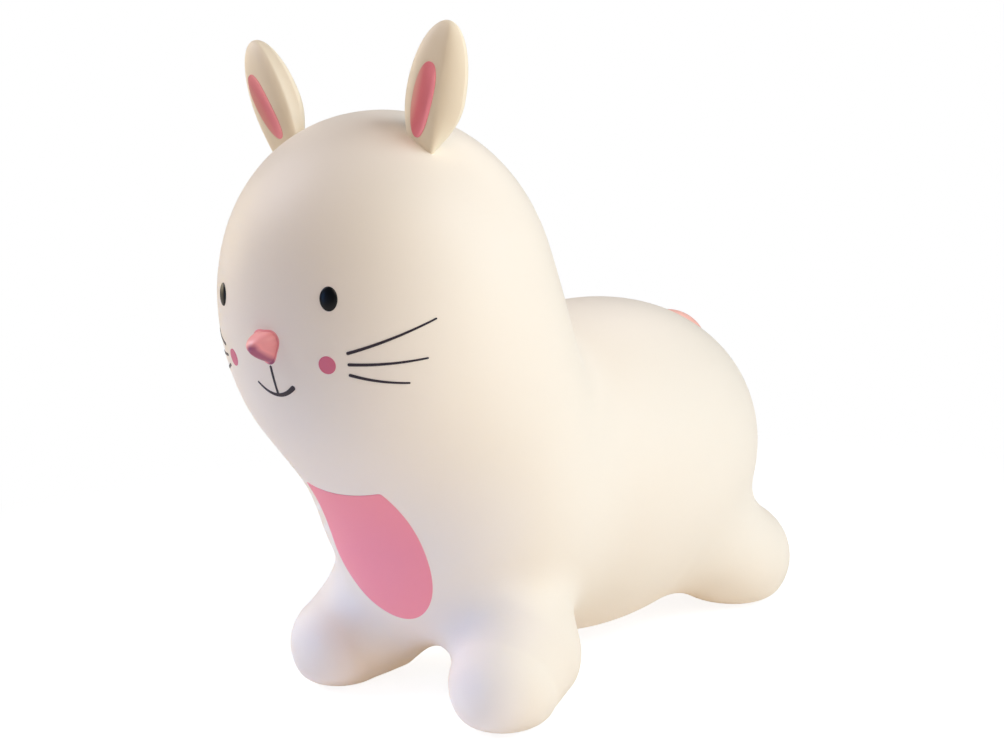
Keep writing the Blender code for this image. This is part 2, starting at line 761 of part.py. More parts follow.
def film(name, net, outline, frame, material):
    reach = max(math.hypot(side, up) for side, up in outline)
    sheet = film_blank(net, frame.translation, reach + 2 * FACET)
    item = add_object(name, mesh_from(sheet, name), material)
    boolean(item, stamp(name + "_stamp", outline, frame, reach + OVERRUN), "INTERSECT")
    return item


def stroke(start, end, start_line, end_line):
    """Outline of a straight tapering stroke with pointed ends."""
    start = Vector(start)
    end = Vector(end)
    along = (end - start).normalized()
    across = Vector((-along.y, along.x))
    upper = []
    lower = []
    for step in range(ARC_STEPS + 1):
        share = step / ARC_STEPS
        middle = start.lerp(end, share)
        half = (start_line + share * (end_line - start_line)) / 2
        upper.append(middle + across * half)
        lower.append(middle - across * half)
    nose_point = end + along * end_line / 2
    tail_point = start - along * start_line / 2
    return [tail_point[:]] + [p[:] for p in lower] + [nose_point[:]] + [p[:] for p in reversed(upper)]


def cheeks(net, material):
    for word, side in (("left", 1), ("right", -1)):
        frame = face_frame(side * CHEEK_TURN, CHEEK_HEIGHT)
        film(word + "_cheek", net, oval(CHEEK_RADIUS, CHEEK_RADIUS), frame, material)


def whiskers(net, material):
    rows = (
        ("top", TOP_WHISKER_ROOT_HEIGHT, TOP_WHISKER_SWEEP, TOP_WHISKER_TIP_HEIGHT),
        ("middle", MIDDLE_WHISKER_ROOT_HEIGHT, MIDDLE_WHISKER_SWEEP, MIDDLE_WHISKER_TIP_HEIGHT),
        ("low", LOW_WHISKER_ROOT_HEIGHT, LOW_WHISKER_SWEEP, LOW_WHISKER_TIP_HEIGHT),
    )
    for word, side in (("left", 1), ("right", -1)):
        for row, root_height, sweep, tip_height in rows:
            root = face_spot(side * WHISKER_ROOT_TURN, root_height)
            tip = face_spot(side * (WHISKER_ROOT_TURN + sweep), tip_height)
            frame = face_frame(side * (WHISKER_ROOT_TURN + sweep / 2), (root_height + tip_height) / 2)
            back = frame.inverted()
            outline = stroke((back @ root)[:2], (back @ tip)[:2], WHISKER_ROOT_LINE, WHISKER_TIP_LINE)
            film(f"{word}_{row}_whisker", net, outline, frame, material)


def smile_point(share):
    """A point on the smile's middle line, from its left tip at -1 to its right tip at 1."""
    return SMILE_HALF_WIDTH * share, SMILE_RISE * share * share - LIP_DROP / 2


def mouth_outline():
    """The stroke under the nose runs down into the smile, like an anchor."""
    upper = []
    lower = []
    for step in range(-ARC_STEPS, ARC_STEPS + 1):
        share = step / ARC_STEPS
        across, up = smile_point(share)
        half = (SMILE_LINE + abs(share) * (SMILE_TIP_LINE - SMILE_LINE)) / 2
        upper.append((across, up + half))
        lower.append((across, up - half))
    half_lip = LIP_LINE / 2
    left = [point for point in upper if point[0] < -half_lip]
    right = [point for point in upper if point[0] > half_lip]
    foot = smile_point(0)[1] + SMILE_LINE / 2
    top = LIP_DROP / 2
    lip = [(-half_lip, foot), (-half_lip, top), (half_lip, top), (half_lip, foot)]
    return left + lip + right + lower[::-1]


def mouth(net, material):
    nose_foot = NOSE_HEIGHT - NOSE_RADIUS * (1 + NOSE_CORNER_SHARE)
    frame = face_frame(0, nose_foot - LIP_GAP - LIP_DROP / 2)
    film("mouth_line", net, mouth_outline(), frame, material)


def chest_patch(net, material):
    """An egg, fuller at the top, cut off at the crease under the chin."""
    cut = CHEST_PATCH_TOP_HEIGHT - CHEST_PATCH_WIDEST_HEIGHT
    outline = []
    for side, share in oval(CHEST_PATCH_HALF_WIDTH, 1, 2 * OVAL_STEPS):
        up = share * (CHEST_PATCH_RISE if share > 0 else CHEST_PATCH_DROP)
        outline.append((side, min(up, cut)))
    spot = touch((0, -2 * HEAD_FORWARD, CHEST_PATCH_WIDEST_HEIGHT), -CENTRE_TO_FRONT)
    film("chest_patch", net, outline, frame_on(spot, CENTRE_TO_FRONT), material)


def main():
    clear_scene()
    cream = make_material("cream vinyl", CREAM, 0.55)
    ink = make_material("dark ink", INK, 0.5)
    rubber = make_material("white rubber", RUBBER_WHITE, 0.5)
    net = skin_net()
    body_skin(net, cream)
    cutter = skin_cutter(net)
    lining = make_material("ear lining pink", LINING_PINK, 0.55)
    for word, side in (("left", 1), ("right", -1)):
        ear_with_lining(word, side, cutter, cream, lining)
    nose(cutter, make_material("nose pink", NOSE_PINK, 0.45))
    tail(cutter, make_material("tail pink", TAIL_PINK, 0.55))
    eyes(cutter, make_material("eye black", EYE_BLACK, 0.25))
    cheeks(net, make_material("cheek pink", CHEEK_PINK, 0.55))
    mouth(net, ink)
    whiskers(net, ink)
    chest_patch(net, make_material("chest pink", PINK, 0.55))
    valve_seat(rubber)
    valve_plug(rubber)
    net.free()


main()
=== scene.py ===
"""Looks of the ride-on rabbit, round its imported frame. Metres, +Z up; it faces -Y and stands on z = 0.

Left and right are the toy's own. A side is 1 on its left and -1 on its right.
"""

import math

import bmesh
import bpy
import numpy as np
from mathutils import Matrix, Vector


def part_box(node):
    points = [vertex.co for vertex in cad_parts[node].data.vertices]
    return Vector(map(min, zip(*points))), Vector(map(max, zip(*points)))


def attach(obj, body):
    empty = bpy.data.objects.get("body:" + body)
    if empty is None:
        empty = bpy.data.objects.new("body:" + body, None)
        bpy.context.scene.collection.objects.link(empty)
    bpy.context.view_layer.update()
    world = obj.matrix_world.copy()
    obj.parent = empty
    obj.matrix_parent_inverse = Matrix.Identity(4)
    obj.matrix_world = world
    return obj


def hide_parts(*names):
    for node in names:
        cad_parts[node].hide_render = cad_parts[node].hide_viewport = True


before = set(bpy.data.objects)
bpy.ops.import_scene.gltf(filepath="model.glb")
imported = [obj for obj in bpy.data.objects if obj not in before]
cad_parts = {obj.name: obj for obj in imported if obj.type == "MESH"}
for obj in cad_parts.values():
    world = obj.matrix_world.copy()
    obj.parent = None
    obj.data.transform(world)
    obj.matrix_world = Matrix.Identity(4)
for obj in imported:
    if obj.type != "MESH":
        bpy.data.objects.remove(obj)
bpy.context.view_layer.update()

# The blown-up form, as in the CAD source but for a tighter rear leg fillet and the rounded rims of the soles

# Eggs: place along Y, height, half sizes, tilt and squareness
HEAD_FORWARD = 0.1445
HEAD = (-HEAD_FORWARD, 0.306, (0.1250, 0.1202, 0.1430), math.radians(8), 2.07)
CHEST = (-0.0880, 0.184, (0.121, 0.100, 0.155), math.radians(4), 2.0)
RUMP = (0.0765, 0.1475, (0.128, 0.201, 0.1388), math.radians(2.8), 2.0)
# Legs: centre of the hip, centre of the foot, and the radius of each
SOLE_CUT = 0.0095
FRONT_FOOT_RADIUS = 0.0410
REAR_FOOT_RADIUS = 0.0505
FRONT_LEG = (
    (0.0775, -0.1110, 0.045), (0.0855, -0.1365, FRONT_FOOT_RADIUS - SOLE_CUT), 0.048, FRONT_FOOT_RADIUS,
)
REAR_LEG = ((0.054, 0.1275, 0.090), (0.0695, 0.2065, REAR_FOOT_RADIUS - SOLE_CUT), 0.052, REAR_FOOT_RADIUS)
NECK_FILLET = 0.046
BACK_FILLET = 0.038
FRONT_LEG_FILLET = 0.033
REAR_LEG_FILLET = 0.022
SOLE_ROUND = 0.012
WALL = 0.0022
TOUCH_GAP = 0.0003

# Net sizes, and the counts of rounds that settle points
FACET = 0.0042
INNER_FACET = 0.0090
BALL_DETAIL = 5
RELAX_ROUNDS = 5
RELAX_SHARE = 0.5
SETTLE_ROUNDS = 5
MARCH_ROUNDS = 60
PROBE = 0.0002
LEAST_REACH = 1e-9
SAME_PLACE = 1e-6
SHARP_ANGLE = math.radians(45)
TURN_SIDES = 96
OVAL_SIDES = 72
# Where straight lines start that look for the skin from outside
FACE_CAST = 0.25
TAIL_CAST = 0.4
PATCH_CAST = 0.4
BUMP_CAST = 0.06
FILM_CAST_MARGIN = 0.02

# Ears
EAR_HALF_WIDTH = 0.0232
EAR_FRONT_THICKNESS = 0.0124
EAR_BACK_THICKNESS = 0.0138
EAR_HALF_LENGTH = 0.0521
EAR_PLACE = (0.0805, -0.1688, 0.4559)
EAR_LEAN = math.radians(21.5)
EAR_NOD = math.radians(3.1)
EAR_TURN = math.radians(1.4)
EAR_SQUARENESS = 2.05
# The front of the ear ends in a soft ridge on each side, with a bevel from there to the ear's edge
EAR_OUTER_SQUARENESS = 3.3
EAR_OUTER_BEVEL = 0.29
EAR_INNER_BEVEL = 0.325
EAR_OUTER_BLEND = 0.34
EAR_INNER_BLEND = 0.10
# The power by which the ridge's blend fades toward the ear's edge, and the least of it
EAR_BLEND_FADE = 8
EAR_LEAST_BLEND = 1e-9
EAR_FRONT_INWARD = 0.0054
EAR_ROOT_OUTWARD = 0.0084
EAR_BACK_TAPER = 0.93
EAR_FRONT_SPREAD = 0.37
DISH_HALF_LENGTH = 0.0273
DISH_DEPTH = 0.0038
# Where each ear's dish lies: how far in from the ear's middle, how far below it, and its slant
DISH_PLACES = {1: (0.0015, 0.0035, math.radians(2.4)), -1: (-0.0006, -0.0006, math.radians(9.5))}
# Half of each dish's width
DISH_WIDTHS = {1: 0.0086, -1: 0.0076}
DISH_SQUARENESS = 2.3
DISH_TAPER = 0.08
# The lip's softness, and how far out it is felt, as a share of the dish
DISH_LIP = 0.10
DISH_LIP_REACH = 2
EAR_SIDES = 180
EAR_RINGS = 110
EAR_SINK = 0.0006
# How much each ear is stretched along its own length, and its place raised
EAR_STRETCHES = {1: (0.970, -0.0007), -1: (1.0, 0.0)}
FRONT_ROUNDS = 20
LINING_SIDES = 144
LINING_RINGS = 28
# Each lining's share of painted light, a paler pink where light falls on its trough's wall: all over, added
# at its right edge, and where that addition starts
LINING_LIGHT_SHARES = {1: (0.06, 0.94, 0.44), -1: (0.26, 0.70, 0.22)}

# Face and body marks, with their turn round the head's upright axis
NOSE_RADIUS = 0.0122
NOSE_STAND = 0.0158
NOSE_HEIGHT = 0.2942
NOSE_CORNER_SHARE = 0.13
NOSE_CORNERS = 3
NOSE_SIDES = 96
NOSE_BRIM = 0.88
# The two powers of the nose's profile: below, and how much more or less above
NOSE_CURVE = (1.5, 0.6)
NOSE_STEEPNESS = (0.92, -0.38)
# The nose's painted shade, where shade falls under its peak: strongest below and a little to the left.
# Places are in shares of its radius.
NOSE_SHADE = 0.95
NOSE_SHADE_TOP = 0.40
NOSE_SHADE_TOP_FADE = 0.26
NOSE_SHADE_LEFT = 0.20
NOSE_SHADE_PLATEAU = 1.5
NOSE_SHADE_SIDE_FADE = 0.30
# The weaker painted shade on its left side
NOSE_LEFT_SHADE = 0.32
NOSE_LEFT_START = 0.30
NOSE_LEFT_FADE = 0.35
NOSE_LEFT_TOP = 0.75
NOSE_LEFT_TOP_FADE = 0.40
TAIL_RADIUS = 0.0285
TAIL_STAND = 0.0142
TAIL_LIFT = math.radians(31.8)
TAIL_SIDES = 120
ROUND_POWER = 2
EYE_SIZES = (0.0064, 0.0082)
EYE_STAND = 0.0016
EYE_POWER = 2.5
EYE_TURN = math.radians(26)
EYE_HEIGHT = 0.326
CHEEK_RADIUS = 0.0062
CHEEK_TURN = math.radians(23.5)
CHEEK_HEIGHT = 0.2817
CHEEK_RINGS = 6
FILM_SINK = 0.0002
FILM_STAND = 0.0003
STROKE_COLUMNS = 5
BUMP_SINK = 0.0012
# A bump's rings are closer together near its rim: where that starts, and the counts of both parts
BUMP_RIM = 0.8
BUMP_RINGS = 28
BUMP_RIM_RINGS = 25

UP = Vector((0, 0, 1))
CENTRE_TO_FRONT = Vector((0, -1, 0))
# The point attribute that holds each point's share of painted light or shade
PAINTED_SHADING = "painted_light_or_shade"


# The form: a field that is zero on the skin, negative inside and about true to distance near it


def egg(points, back, height, sizes, tilt, squareness):
    local = points - np.array([0, back, height])
    along = local[:, 1] * math.cos(tilt) + local[:, 2] * math.sin(tilt)
    upward = local[:, 2] * math.cos(tilt) - local[:, 1] * math.sin(tilt)
    sizes = np.array(sizes)
    shares = np.abs(np.stack([local[:, 0], along, upward], axis=1)) / sizes
    reach = np.maximum(np.sum(shares**squareness, axis=1), LEAST_REACH) ** (1 / squareness)
    lean = (shares / reach[:, None]) ** (squareness - 1) / sizes
    return (reach - 1) / np.linalg.norm(lean, axis=1)


def round_cone(points, start, end, start_radius, end_radius):
    start = np.array(start)
    along = np.array(end) - start
    share = np.clip((points - start) @ along / (along @ along), 0, 1)
    middle = start + share[:, None] * along
    radius = start_radius + share * (end_radius - start_radius)
    return np.linalg.norm(points - middle, axis=1) - radius


def swell(one, other, fillet):
    nearness = np.maximum(fillet - np.abs(one - other), 0) / fillet
    return np.minimum(one, other) - nearness * nearness * fillet / 4


def form(points):
    half = np.array(points, float)
    half[:, 0] = np.abs(half[:, 0])
    head, chest, rump = (egg(half, *place) for place in (HEAD, CHEST, RUMP))
    field = swell(head, swell(chest, rump, BACK_FILLET), NECK_FILLET)
    field = swell(field, round_cone(half, *FRONT_LEG), FRONT_LEG_FILLET)
    return swell(field, round_cone(half, *REAR_LEG), REAR_LEG_FILLET)


def stood(points):
    """The form with its soles pressed flat on the floor, their rims rounded."""
    points = np.array(points, float)
    return -swell(-form(points), points[:, 2], SOLE_ROUND)


def slope(points, field=form):
    rows = []
    for axis in np.eye(3) * PROBE:
        rows.append((field(points + axis) - field(points - axis)) / (2 * PROBE))
    return np.stack(rows, axis=1)


def settled(points, level=0.0, field=form):
    """The points moved along the slope until they lie at the level, outside the skin if it is positive."""
    points = np.array(points, float)
    for _ in range(SETTLE_ROUNDS):
        lean = slope(points, field)
        excess = field(points) - level
        points -= excess[:, None] * lean / np.sum(lean * lean, axis=1)[:, None]
    return points


def cast(points, direction):
    """Where straight lines from outside first meet the skin."""
    points = np.array(points, float)
    for _ in range(MARCH_ROUNDS):
        points += form(points)[:, None] * np.array(direction)
    return points


def outward_at(point):
    return Vector(slope(np.array([point]))[0]).normalized()


def frame_on(point, normal):
    side = UP.cross(normal).normalized()
    up = normal.cross(side)
    return Matrix.Translation(point) @ Matrix((side, up, normal)).transposed().to_4x4()


def face_spot(turn, height):
    outward = Vector((math.sin(turn), -math.cos(turn), 0))
    axis = Vector((0, -HEAD_FORWARD, height))
    return Vector(cast([axis + outward * FACE_CAST], -outward)[0])


def face_frame(turn, height):
    spot = face_spot(turn, height)
    return frame_on(spot, outward_at(spot))


# Building


def new_object(name, mesh, material=None):
    item = bpy.data.objects.new(name, mesh)
    bpy.context.scene.collection.objects.link(item)
    if material:
        mesh.materials.append(material)
    return item


def dress(piece, node):
    """The piece rides on the toy, in the place of one of its solids."""
    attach(piece, "toy")
    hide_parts(node)


def in_world(points, place):
    matrix = np.array(place)
    return points @ matrix[:3, :3].T + matrix[:3, 3]


def mesh_points(mesh):
    return np.array([vertex.co for vertex in mesh.vertices])


def put_attribute(mesh, values):
    """A share for each point, by which the material mixes in its painted light or shade."""
    layer = mesh.attributes.new(PAINTED_SHADING, "FLOAT", "POINT")
    layer.data.foreach_set("value", np.array(values, np.float32))


def smooth(mesh):
    mesh.shade_smooth()
    mesh.set_sharp_from_angle(angle=SHARP_ANGLE)


def welded(name, points, faces):
    """A mesh whose points that coincide are merged, and whose faces look outward."""
    mesh = bpy.data.meshes.new(name)
    mesh.from_pydata(points.tolist(), [], faces)
    shape = bmesh.new()
    shape.from_mesh(mesh)
    bmesh.ops.remove_doubles(shape, verts=shape.verts, dist=SAME_PLACE)
    bmesh.ops.recalc_face_normals(shape, faces=shape.faces)
    shape.to_mesh(mesh)
    shape.free()
    return mesh


def solid_from_grids(name, top, bottom, wraps, material):
    """A closed piece between two grids of points. One that wraps is a disc whose first row is its centre."""
    rows, columns = top.shape[:2]
    points = np.concatenate([top.reshape(-1, 3), bottom.reshape(-1, 3)])
    under = rows * columns
    faces = []
    last = columns if wraps else columns - 1
    for row in range(rows - 1):
        for column in range(last):
            after = (column + 1) % columns
            a, b = row * columns + column, row * columns + after
            c, d = a + columns, b + columns
            faces.append((a, b, d, c))
            faces.append((under + a, under + c, under + d, under + b))
    edge = [(rows - 1) * columns + column for column in range(columns)]
    if wraps:
        rim = edge
    else:
        right = [row * columns + columns - 1 for row in range(rows - 1, -1, -1)]
        first = list(range(columns - 1, -1, -1))
        left = [row * columns for row in range(rows)]
        rim = edge + right[1:] + first[1:] + left[1:-1]
    for here, after in zip(rim, rim[1:] + rim[:1]):
        faces.append((here, after, under + after, under + here))
    mesh = welded(name, points, faces)
    smooth(mesh)
    return new_object(name, mesh, material)


def film(name, flat, place, wraps, material, stand=FILM_STAND):
    """A painted mark: its flat grid, drawn square to the skin at the place, is laid on the skin."""
    rows, columns = flat.shape[:2]
    flat = flat.reshape(-1, 2)
    reach = np.abs(flat).max() + FILM_CAST_MARGIN
    points = in_world(np.concatenate([flat, np.full((len(flat), 1), reach)], axis=1), place)
    on_skin = cast(points, -np.array(place)[:3, 2])
    top = settled(on_skin, stand).reshape(rows, columns, 3)
    bottom = settled(on_skin, -FILM_SINK).reshape(rows, columns, 3)
    return solid_from_grids(name, top, bottom, wraps, material)


def disc_grid(outline, rings):
    outline = np.array(outline)
    shares = np.linspace(0, 1, rings + 1)
    return shares[:, None, None] * outline[None]


def oval(half_width, half_height, sides=OVAL_SIDES):
    angles = np.arange(sides) / sides * math.tau
    return np.stack([half_width * np.cos(angles), half_height * np.sin(angles)], axis=1)


def stroke_shares(corners, counts):
    """Shares along a stroke, closer together near its two ends."""
    first, middle, last = (np.linspace(*corners[part:part + 2], counts[part]) for part in range(3))
    return np.concatenate([first, middle[1:-1], last])


def stroke_grid(line, widths):
    """A brush stroke round a line of flat points, with its width at each of them and round ends."""
    line = np.array(line, float)
    ahead = np.gradient(line, axis=0)
    ahead /= np.linalg.norm(ahead, axis=1)[:, None]
    side = np.stack([-ahead[:, 1], ahead[:, 0]], axis=1)
    run = np.concatenate([[0], np.cumsum(np.linalg.norm(np.diff(line, axis=0), axis=1))])
    half = np.array(widths) / 2
    from_start = np.clip(run / half[0], 0, 1)
    from_end = np.clip((run[-1] - run) / half[-1], 0, 1)
    half = half * np.sqrt(1 - (1 - from_start) ** 2) * np.sqrt(1 - (1 - from_end) ** 2)
    shares = np.linspace(-1, 1, STROKE_COLUMNS)
    return line[:, None] + side[:, None] * (half[:, None] * shares[None])[..., None]


# Skin


def add_ball(shape, centre, radius):
    place = Matrix.Translation(Vector(centre)) @ Matrix.Scale(radius, 4)
    return bmesh.ops.create_icosphere(shape, subdivisions=BALL_DETAIL, radius=1, matrix=place)["verts"]


def rough_form():
    shape = bmesh.new()
    for back, height, sizes, tilt, _ in (HEAD, CHEST, RUMP):
        place = Matrix.Translation((0, back, height)) @ Matrix.Rotation(tilt, 4, "X")
        size = Matrix.Diagonal((*sizes, 1))
        bmesh.ops.create_icosphere(shape, subdivisions=BALL_DETAIL, radius=1, matrix=place @ size)
    for start, end, start_radius, end_radius in (FRONT_LEG, REAR_LEG):
        for side in (1, -1):
            leg = bmesh.new()
            add_ball(leg, (side * start[0], *start[1:]), start_radius)
            add_ball(leg, (side * end[0], *end[1:]), end_radius)
            bmesh.ops.convex_hull(leg, input=leg.verts)
            loose = [vertex for vertex in leg.verts if not vertex.link_faces]
            bmesh.ops.delete(leg, geom=loose, context="VERTS")
            part = bpy.data.meshes.new("leg")
            leg.to_mesh(part)
            leg.free()
            shape.from_mesh(part)
            bpy.data.meshes.remove(part)
    bmesh.ops.recalc_face_normals(shape, faces=shape.faces)
    mesh = bpy.data.meshes.new("rough_form")
    shape.to_mesh(mesh)
    shape.free()
    return mesh


def skin_net(facet, level):
    """Even quads all over the form, at a level of its field."""
    item = new_object("rough_form", rough_form())
    step = item.modifiers.new("even quads", "REMESH")
    step.mode = "VOXEL"
    step.voxel_size = facet
    graph = bpy.context.evaluated_depsgraph_get()
    even = bpy.data.meshes.new_from_object(item.evaluated_get(graph))
    bpy.data.objects.remove(item, do_unlink=True)
    net = bmesh.new()
    net.from_mesh(even)
    bpy.data.meshes.remove(even)
    for _ in range(RELAX_ROUNDS):
        bmesh.ops.smooth_vert(
            net, verts=net.verts, factor=RELAX_SHARE, use_axis_x=True, use_axis_y=True, use_axis_z=True
        )
        spots = settled([vertex.co for vertex in net.verts], level, stood)
        for vertex, spot in zip(net.verts, spots):
            vertex.co = spot
    bmesh.ops.recalc_face_normals(net, faces=net.faces)
    return net


def turned(name, profile, material=None):
    """A solid of revolution about its own upright axis, from pairs of radius and height."""
    shape = bmesh.new()
    line = [shape.verts.new((radius, 0, height)) for radius, height in profile]
    pairs = zip(line, line[1:] + line[:1])
    edges = [shape.edges.new(pair) for pair in pairs if pair[0].co.x or pair[1].co.x]
    bmesh.ops.spin(
        shape, geom=line + edges, axis=UP, cent=(0, 0, 0), angle=math.tau, steps=TURN_SIDES, use_merge=True
    )
    bmesh.ops.remove_doubles(shape, verts=shape.verts, dist=SAME_PLACE)
    bmesh.ops.recalc_face_normals(shape, faces=shape.faces)
    mesh = bpy.data.meshes.new(name)
    shape.to_mesh(mesh)
    shape.free()
    smooth(mesh)
    return new_object(name, mesh, material)


# The most of an edge that one rounded corner may take, and the steps round it
CORNER_SHARE = 0.45
CORNER_STEPS = 4


def eased(profile, radius):
    """The profile with each of its corners off the axis rounded."""
    points = []
    count = len(profile)
    for index, corner in enumerate(profile):
        here = Vector(corner)
        before = Vector(profile[index - 1])
        after = Vector(profile[(index + 1) % count])
        if here.x == 0:
            points.append(tuple(here))
            continue
        back = before - here
        ahead = after - here
        cut = min(radius, back.length * CORNER_SHARE, ahead.length * CORNER_SHARE)
        start = here + back.normalized() * cut
        end = here + ahead.normalized() * cut
        for step in range(CORNER_STEPS + 1):
            share = step / CORNER_STEPS
            points.append(tuple(start.lerp(here, share).lerp(here.lerp(end, share), share)))
    return points


def join_solid(item, other, operation):
    step = item.modifiers.new(other.name, "BOOLEAN")
    step.operation = operation
    step.object = other


VALVE_BACK = sum(corner.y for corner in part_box("valve_seat")) / 2
BOSS_RADIUS = 0.0165
BOSS_EASE = 0.0006
SKIN_HOLE_RADIUS = 0.0080
SKIN_HOLE_MARGIN = 0.01
SEAT_FLANGE_RADIUS = 0.0130
SEAT_FLANGE_THICKNESS = 0.0018
SEAT_COLLAR_RADIUS = 0.0105
SEAT_COLLAR_HEIGHT = 0.0022
# The share of the collar's height that stands upright below its slope
SEAT_COLLAR_RIM = 0.25
SEAT_EASE = 0.0005
PLUG_HEAD_RADIUS = 0.0090
PLUG_HEAD_THICKNESS = 0.0020
# The shallow dish under the plug's head: its depth, and the share of the radius inside and outside its edge
PLUG_DISH_DEPTH = 0.0004
PLUG_DISH_SHARES = (0.55, 0.65)
PLUG_EASE = 0.0004
PLUG_STEM_RADIUS = 0.0045
PLUG_TIP_RADIUS = 0.0028
PLUG_RIB_RISE = 0.0006
PLUG_RIB_COUNT = 3
# In shares of the ribs' pitch: where a rib starts, is widest and ends, and how much of the stem is plain
PLUG_RIB_PLACES = (0.5, 0.8, 1.4)
PLUG_PLAIN_STEM = 2


def boss_levels():
    low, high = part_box("valve_seat")
    return low.z + SEAT_FLANGE_THICKNESS + TOUCH_GAP, high.z - SEAT_COLLAR_HEIGHT - TOUCH_GAP


def body_skin(material):
    net = skin_net(FACET, 0.0)
    inner = skin_net(INNER_FACET, -WALL)
    bmesh.ops.reverse_faces(inner, faces=inner.faces)
    inside = bpy.data.meshes.new("inside")
    inner.to_mesh(inside)
    inner.free()
    net.from_mesh(inside)
    bpy.data.meshes.remove(inside)
    mesh = bpy.data.meshes.new("vinyl_skin")
    net.to_mesh(mesh)
    net.free()
    skin = new_object("vinyl_skin", mesh, material)
    low, high = boss_levels()
    disc = [(0, low), (BOSS_RADIUS, low), (BOSS_RADIUS, high), (0, high)]
    boss = turned("boss", eased(disc, BOSS_EASE))
    low -= SKIN_HOLE_MARGIN
    high += SKIN_HOLE_MARGIN
    hole = turned("hole", [(0, low), (SKIN_HOLE_RADIUS, low), (SKIN_HOLE_RADIUS, high), (0, high)])
    for cutter in (boss, hole):
        cutter.location.y = VALVE_BACK
    join_solid(skin, boss, "UNION")
    join_solid(skin, hole, "DIFFERENCE")
    graph = bpy.context.evaluated_depsgraph_get()
    final = bpy.data.meshes.new_from_object(skin.evaluated_get(graph))
    skin.modifiers.clear()
    skin.data = final
    for cutter in (boss, hole):
        bpy.data.objects.remove(cutter, do_unlink=True)
    smooth(final)
    dress(skin, "body_skin")


# Ears


def ear_frame(side):
    lean = Matrix.Rotation(side * EAR_LEAN, 4, "Y")
    nod = Matrix.Rotation(EAR_NOD, 4, "X")
    turn = Matrix.Rotation(side * EAR_TURN, 4, "Z")
    stretch, rise = EAR_STRETCHES[side]
    place = Matrix.Translation((side * EAR_PLACE[0], EAR_PLACE[1], EAR_PLACE[2] + rise))
    return place @ lean @ nod @ turn @ Matrix.Diagonal((1, 1, stretch, 1))


def dish_place(side, across, upward):
    """From the dish's own axes to those of the ear."""
    inward, drop, slant = DISH_PLACES[side]
    turn = side * slant
    wide = across * math.cos(turn) + upward * math.sin(turn) - side * inward
    return wide, upward * math.cos(turn) - across * math.sin(turn) - drop


def dish_across(side, across, height):
    """How far to the left of the dish's middle line a spot of the ear is."""
    inward, drop, slant = DISH_PLACES[side]
    turn = side * slant
    return (across + side * inward) * math.cos(turn) - (height + drop) * math.sin(turn)


def dish_reach(side, across, height):
    """1 on the dish's rim, less inside it."""
    inward, drop, slant = DISH_PLACES[side]
    turn = side * slant
    along = (across + side * inward) * math.sin(turn) + (height + drop) * math.cos(turn)
    along = along / DISH_HALF_LENGTH
    own = dish_across(side, across, height)
    own = own / (DISH_WIDTHS[side] * (1 + DISH_TAPER * np.clip(along, -1, 1)))
    total = np.abs(own) ** DISH_SQUARENESS + np.abs(along) ** DISH_SQUARENESS
    return total ** (1 / DISH_SQUARENESS)


def dish_depth(side, across, height):
    """How far the ear's front is pressed in: a round-bottomed trough with a softly rolled lip."""
    reach = dish_reach(side, across, height)
    gap = 1 - reach**2
    soft = (gap + np.sqrt(gap * gap + DISH_LIP * DISH_LIP)) / 2
    return DISH_DEPTH * np.maximum(soft - DISH_LIP * DISH_LIP / 4, 0) * (reach < DISH_LIP_REACH)


def root_share(height):
    """0 from the ear's middle up, and 1 at its very foot."""
    low = np.maximum(-height / EAR_HALF_LENGTH, 0)
    return low * low


def front_width(height, reach):
    """Toward the root the ear's back narrows and its front widens."""
    root = root_share(height)
    back = (1 - EAR_BACK_TAPER * root) * (1 - reach)
    return EAR_HALF_WIDTH * (back + (1 + EAR_FRONT_SPREAD * root) * reach)


def front_bulge(side, wide):
    """How far forward the ear's front stands at a share of its half width."""
    outer = wide * side > 0
    power = np.where(outer, EAR_OUTER_SQUARENESS, EAR_SQUARENESS)
    run = np.where(outer, EAR_OUTER_BEVEL, EAR_INNER_BEVEL)
    share = np.minimum(np.abs(wide), 1)
    rounded = (1 - share**power) ** (1 / power)
    bevel = (1 - share) / run
    blend = np.where(outer, EAR_OUTER_BLEND, EAR_INNER_BLEND) * (1 - share**EAR_BLEND_FADE)
    blend += EAR_LEAST_BLEND
    gap = np.maximum(blend - np.abs(rounded - bevel), 0)
    return np.maximum(np.minimum(rounded, bevel) - gap * gap / (4 * blend), 0)


def front_inward(side, height, reach):
    return side * (EAR_FRONT_INWARD - EAR_ROOT_OUTWARD * root_share(height)) * reach * reach


def ear_leaf(word, side, material):
    angles = np.arange(EAR_SIDES) / EAR_SIDES * math.tau
    across = np.cos(angles)
    back = np.sin(angles)
    front = back < 0
    power = 2 / EAR_SQUARENESS
    wide = np.sign(across) * np.abs(across) ** power
    reach = np.where(front, front_bulge(side, wide), np.abs(back) ** power)
    turns = np.linspace(0, math.pi, EAR_RINGS + 1)
    share = np.sin(turns)[:, None]
    height = np.repeat(-EAR_HALF_LENGTH * np.cos(turns)[:, None], EAR_SIDES, axis=1)
    forward = np.where(front, reach, 0)
    x = (wide * front_width(height, forward) - front_inward(side, height, forward)) * share
    pressed_in = -EAR_FRONT_THICKNESS * reach * share + dish_depth(side, x, height)
    narrow = 1 - EAR_BACK_TAPER * root_share(height)
    y = np.where(front, pressed_in, EAR_BACK_THICKNESS * reach * narrow * share)
    points = in_world(np.stack([x, y, height], axis=-1).reshape(-1, 3), ear_frame(side))
    sunk = form(points) < -EAR_SINK
    points[sunk] = settled(points[sunk], -EAR_SINK)
    faces = []
    for row in range(EAR_RINGS):
        for column in range(EAR_SIDES):
            after = (column + 1) % EAR_SIDES
            a, b = row * EAR_SIDES + column, row * EAR_SIDES + after
            faces.append((a, b, b + EAR_SIDES, a + EAR_SIDES))
    mesh = welded(word + "_ear_leaf", points, faces)
    mesh.shade_smooth()
    dress(new_object(word + "_ear_leaf", mesh, material), word + "_ear")


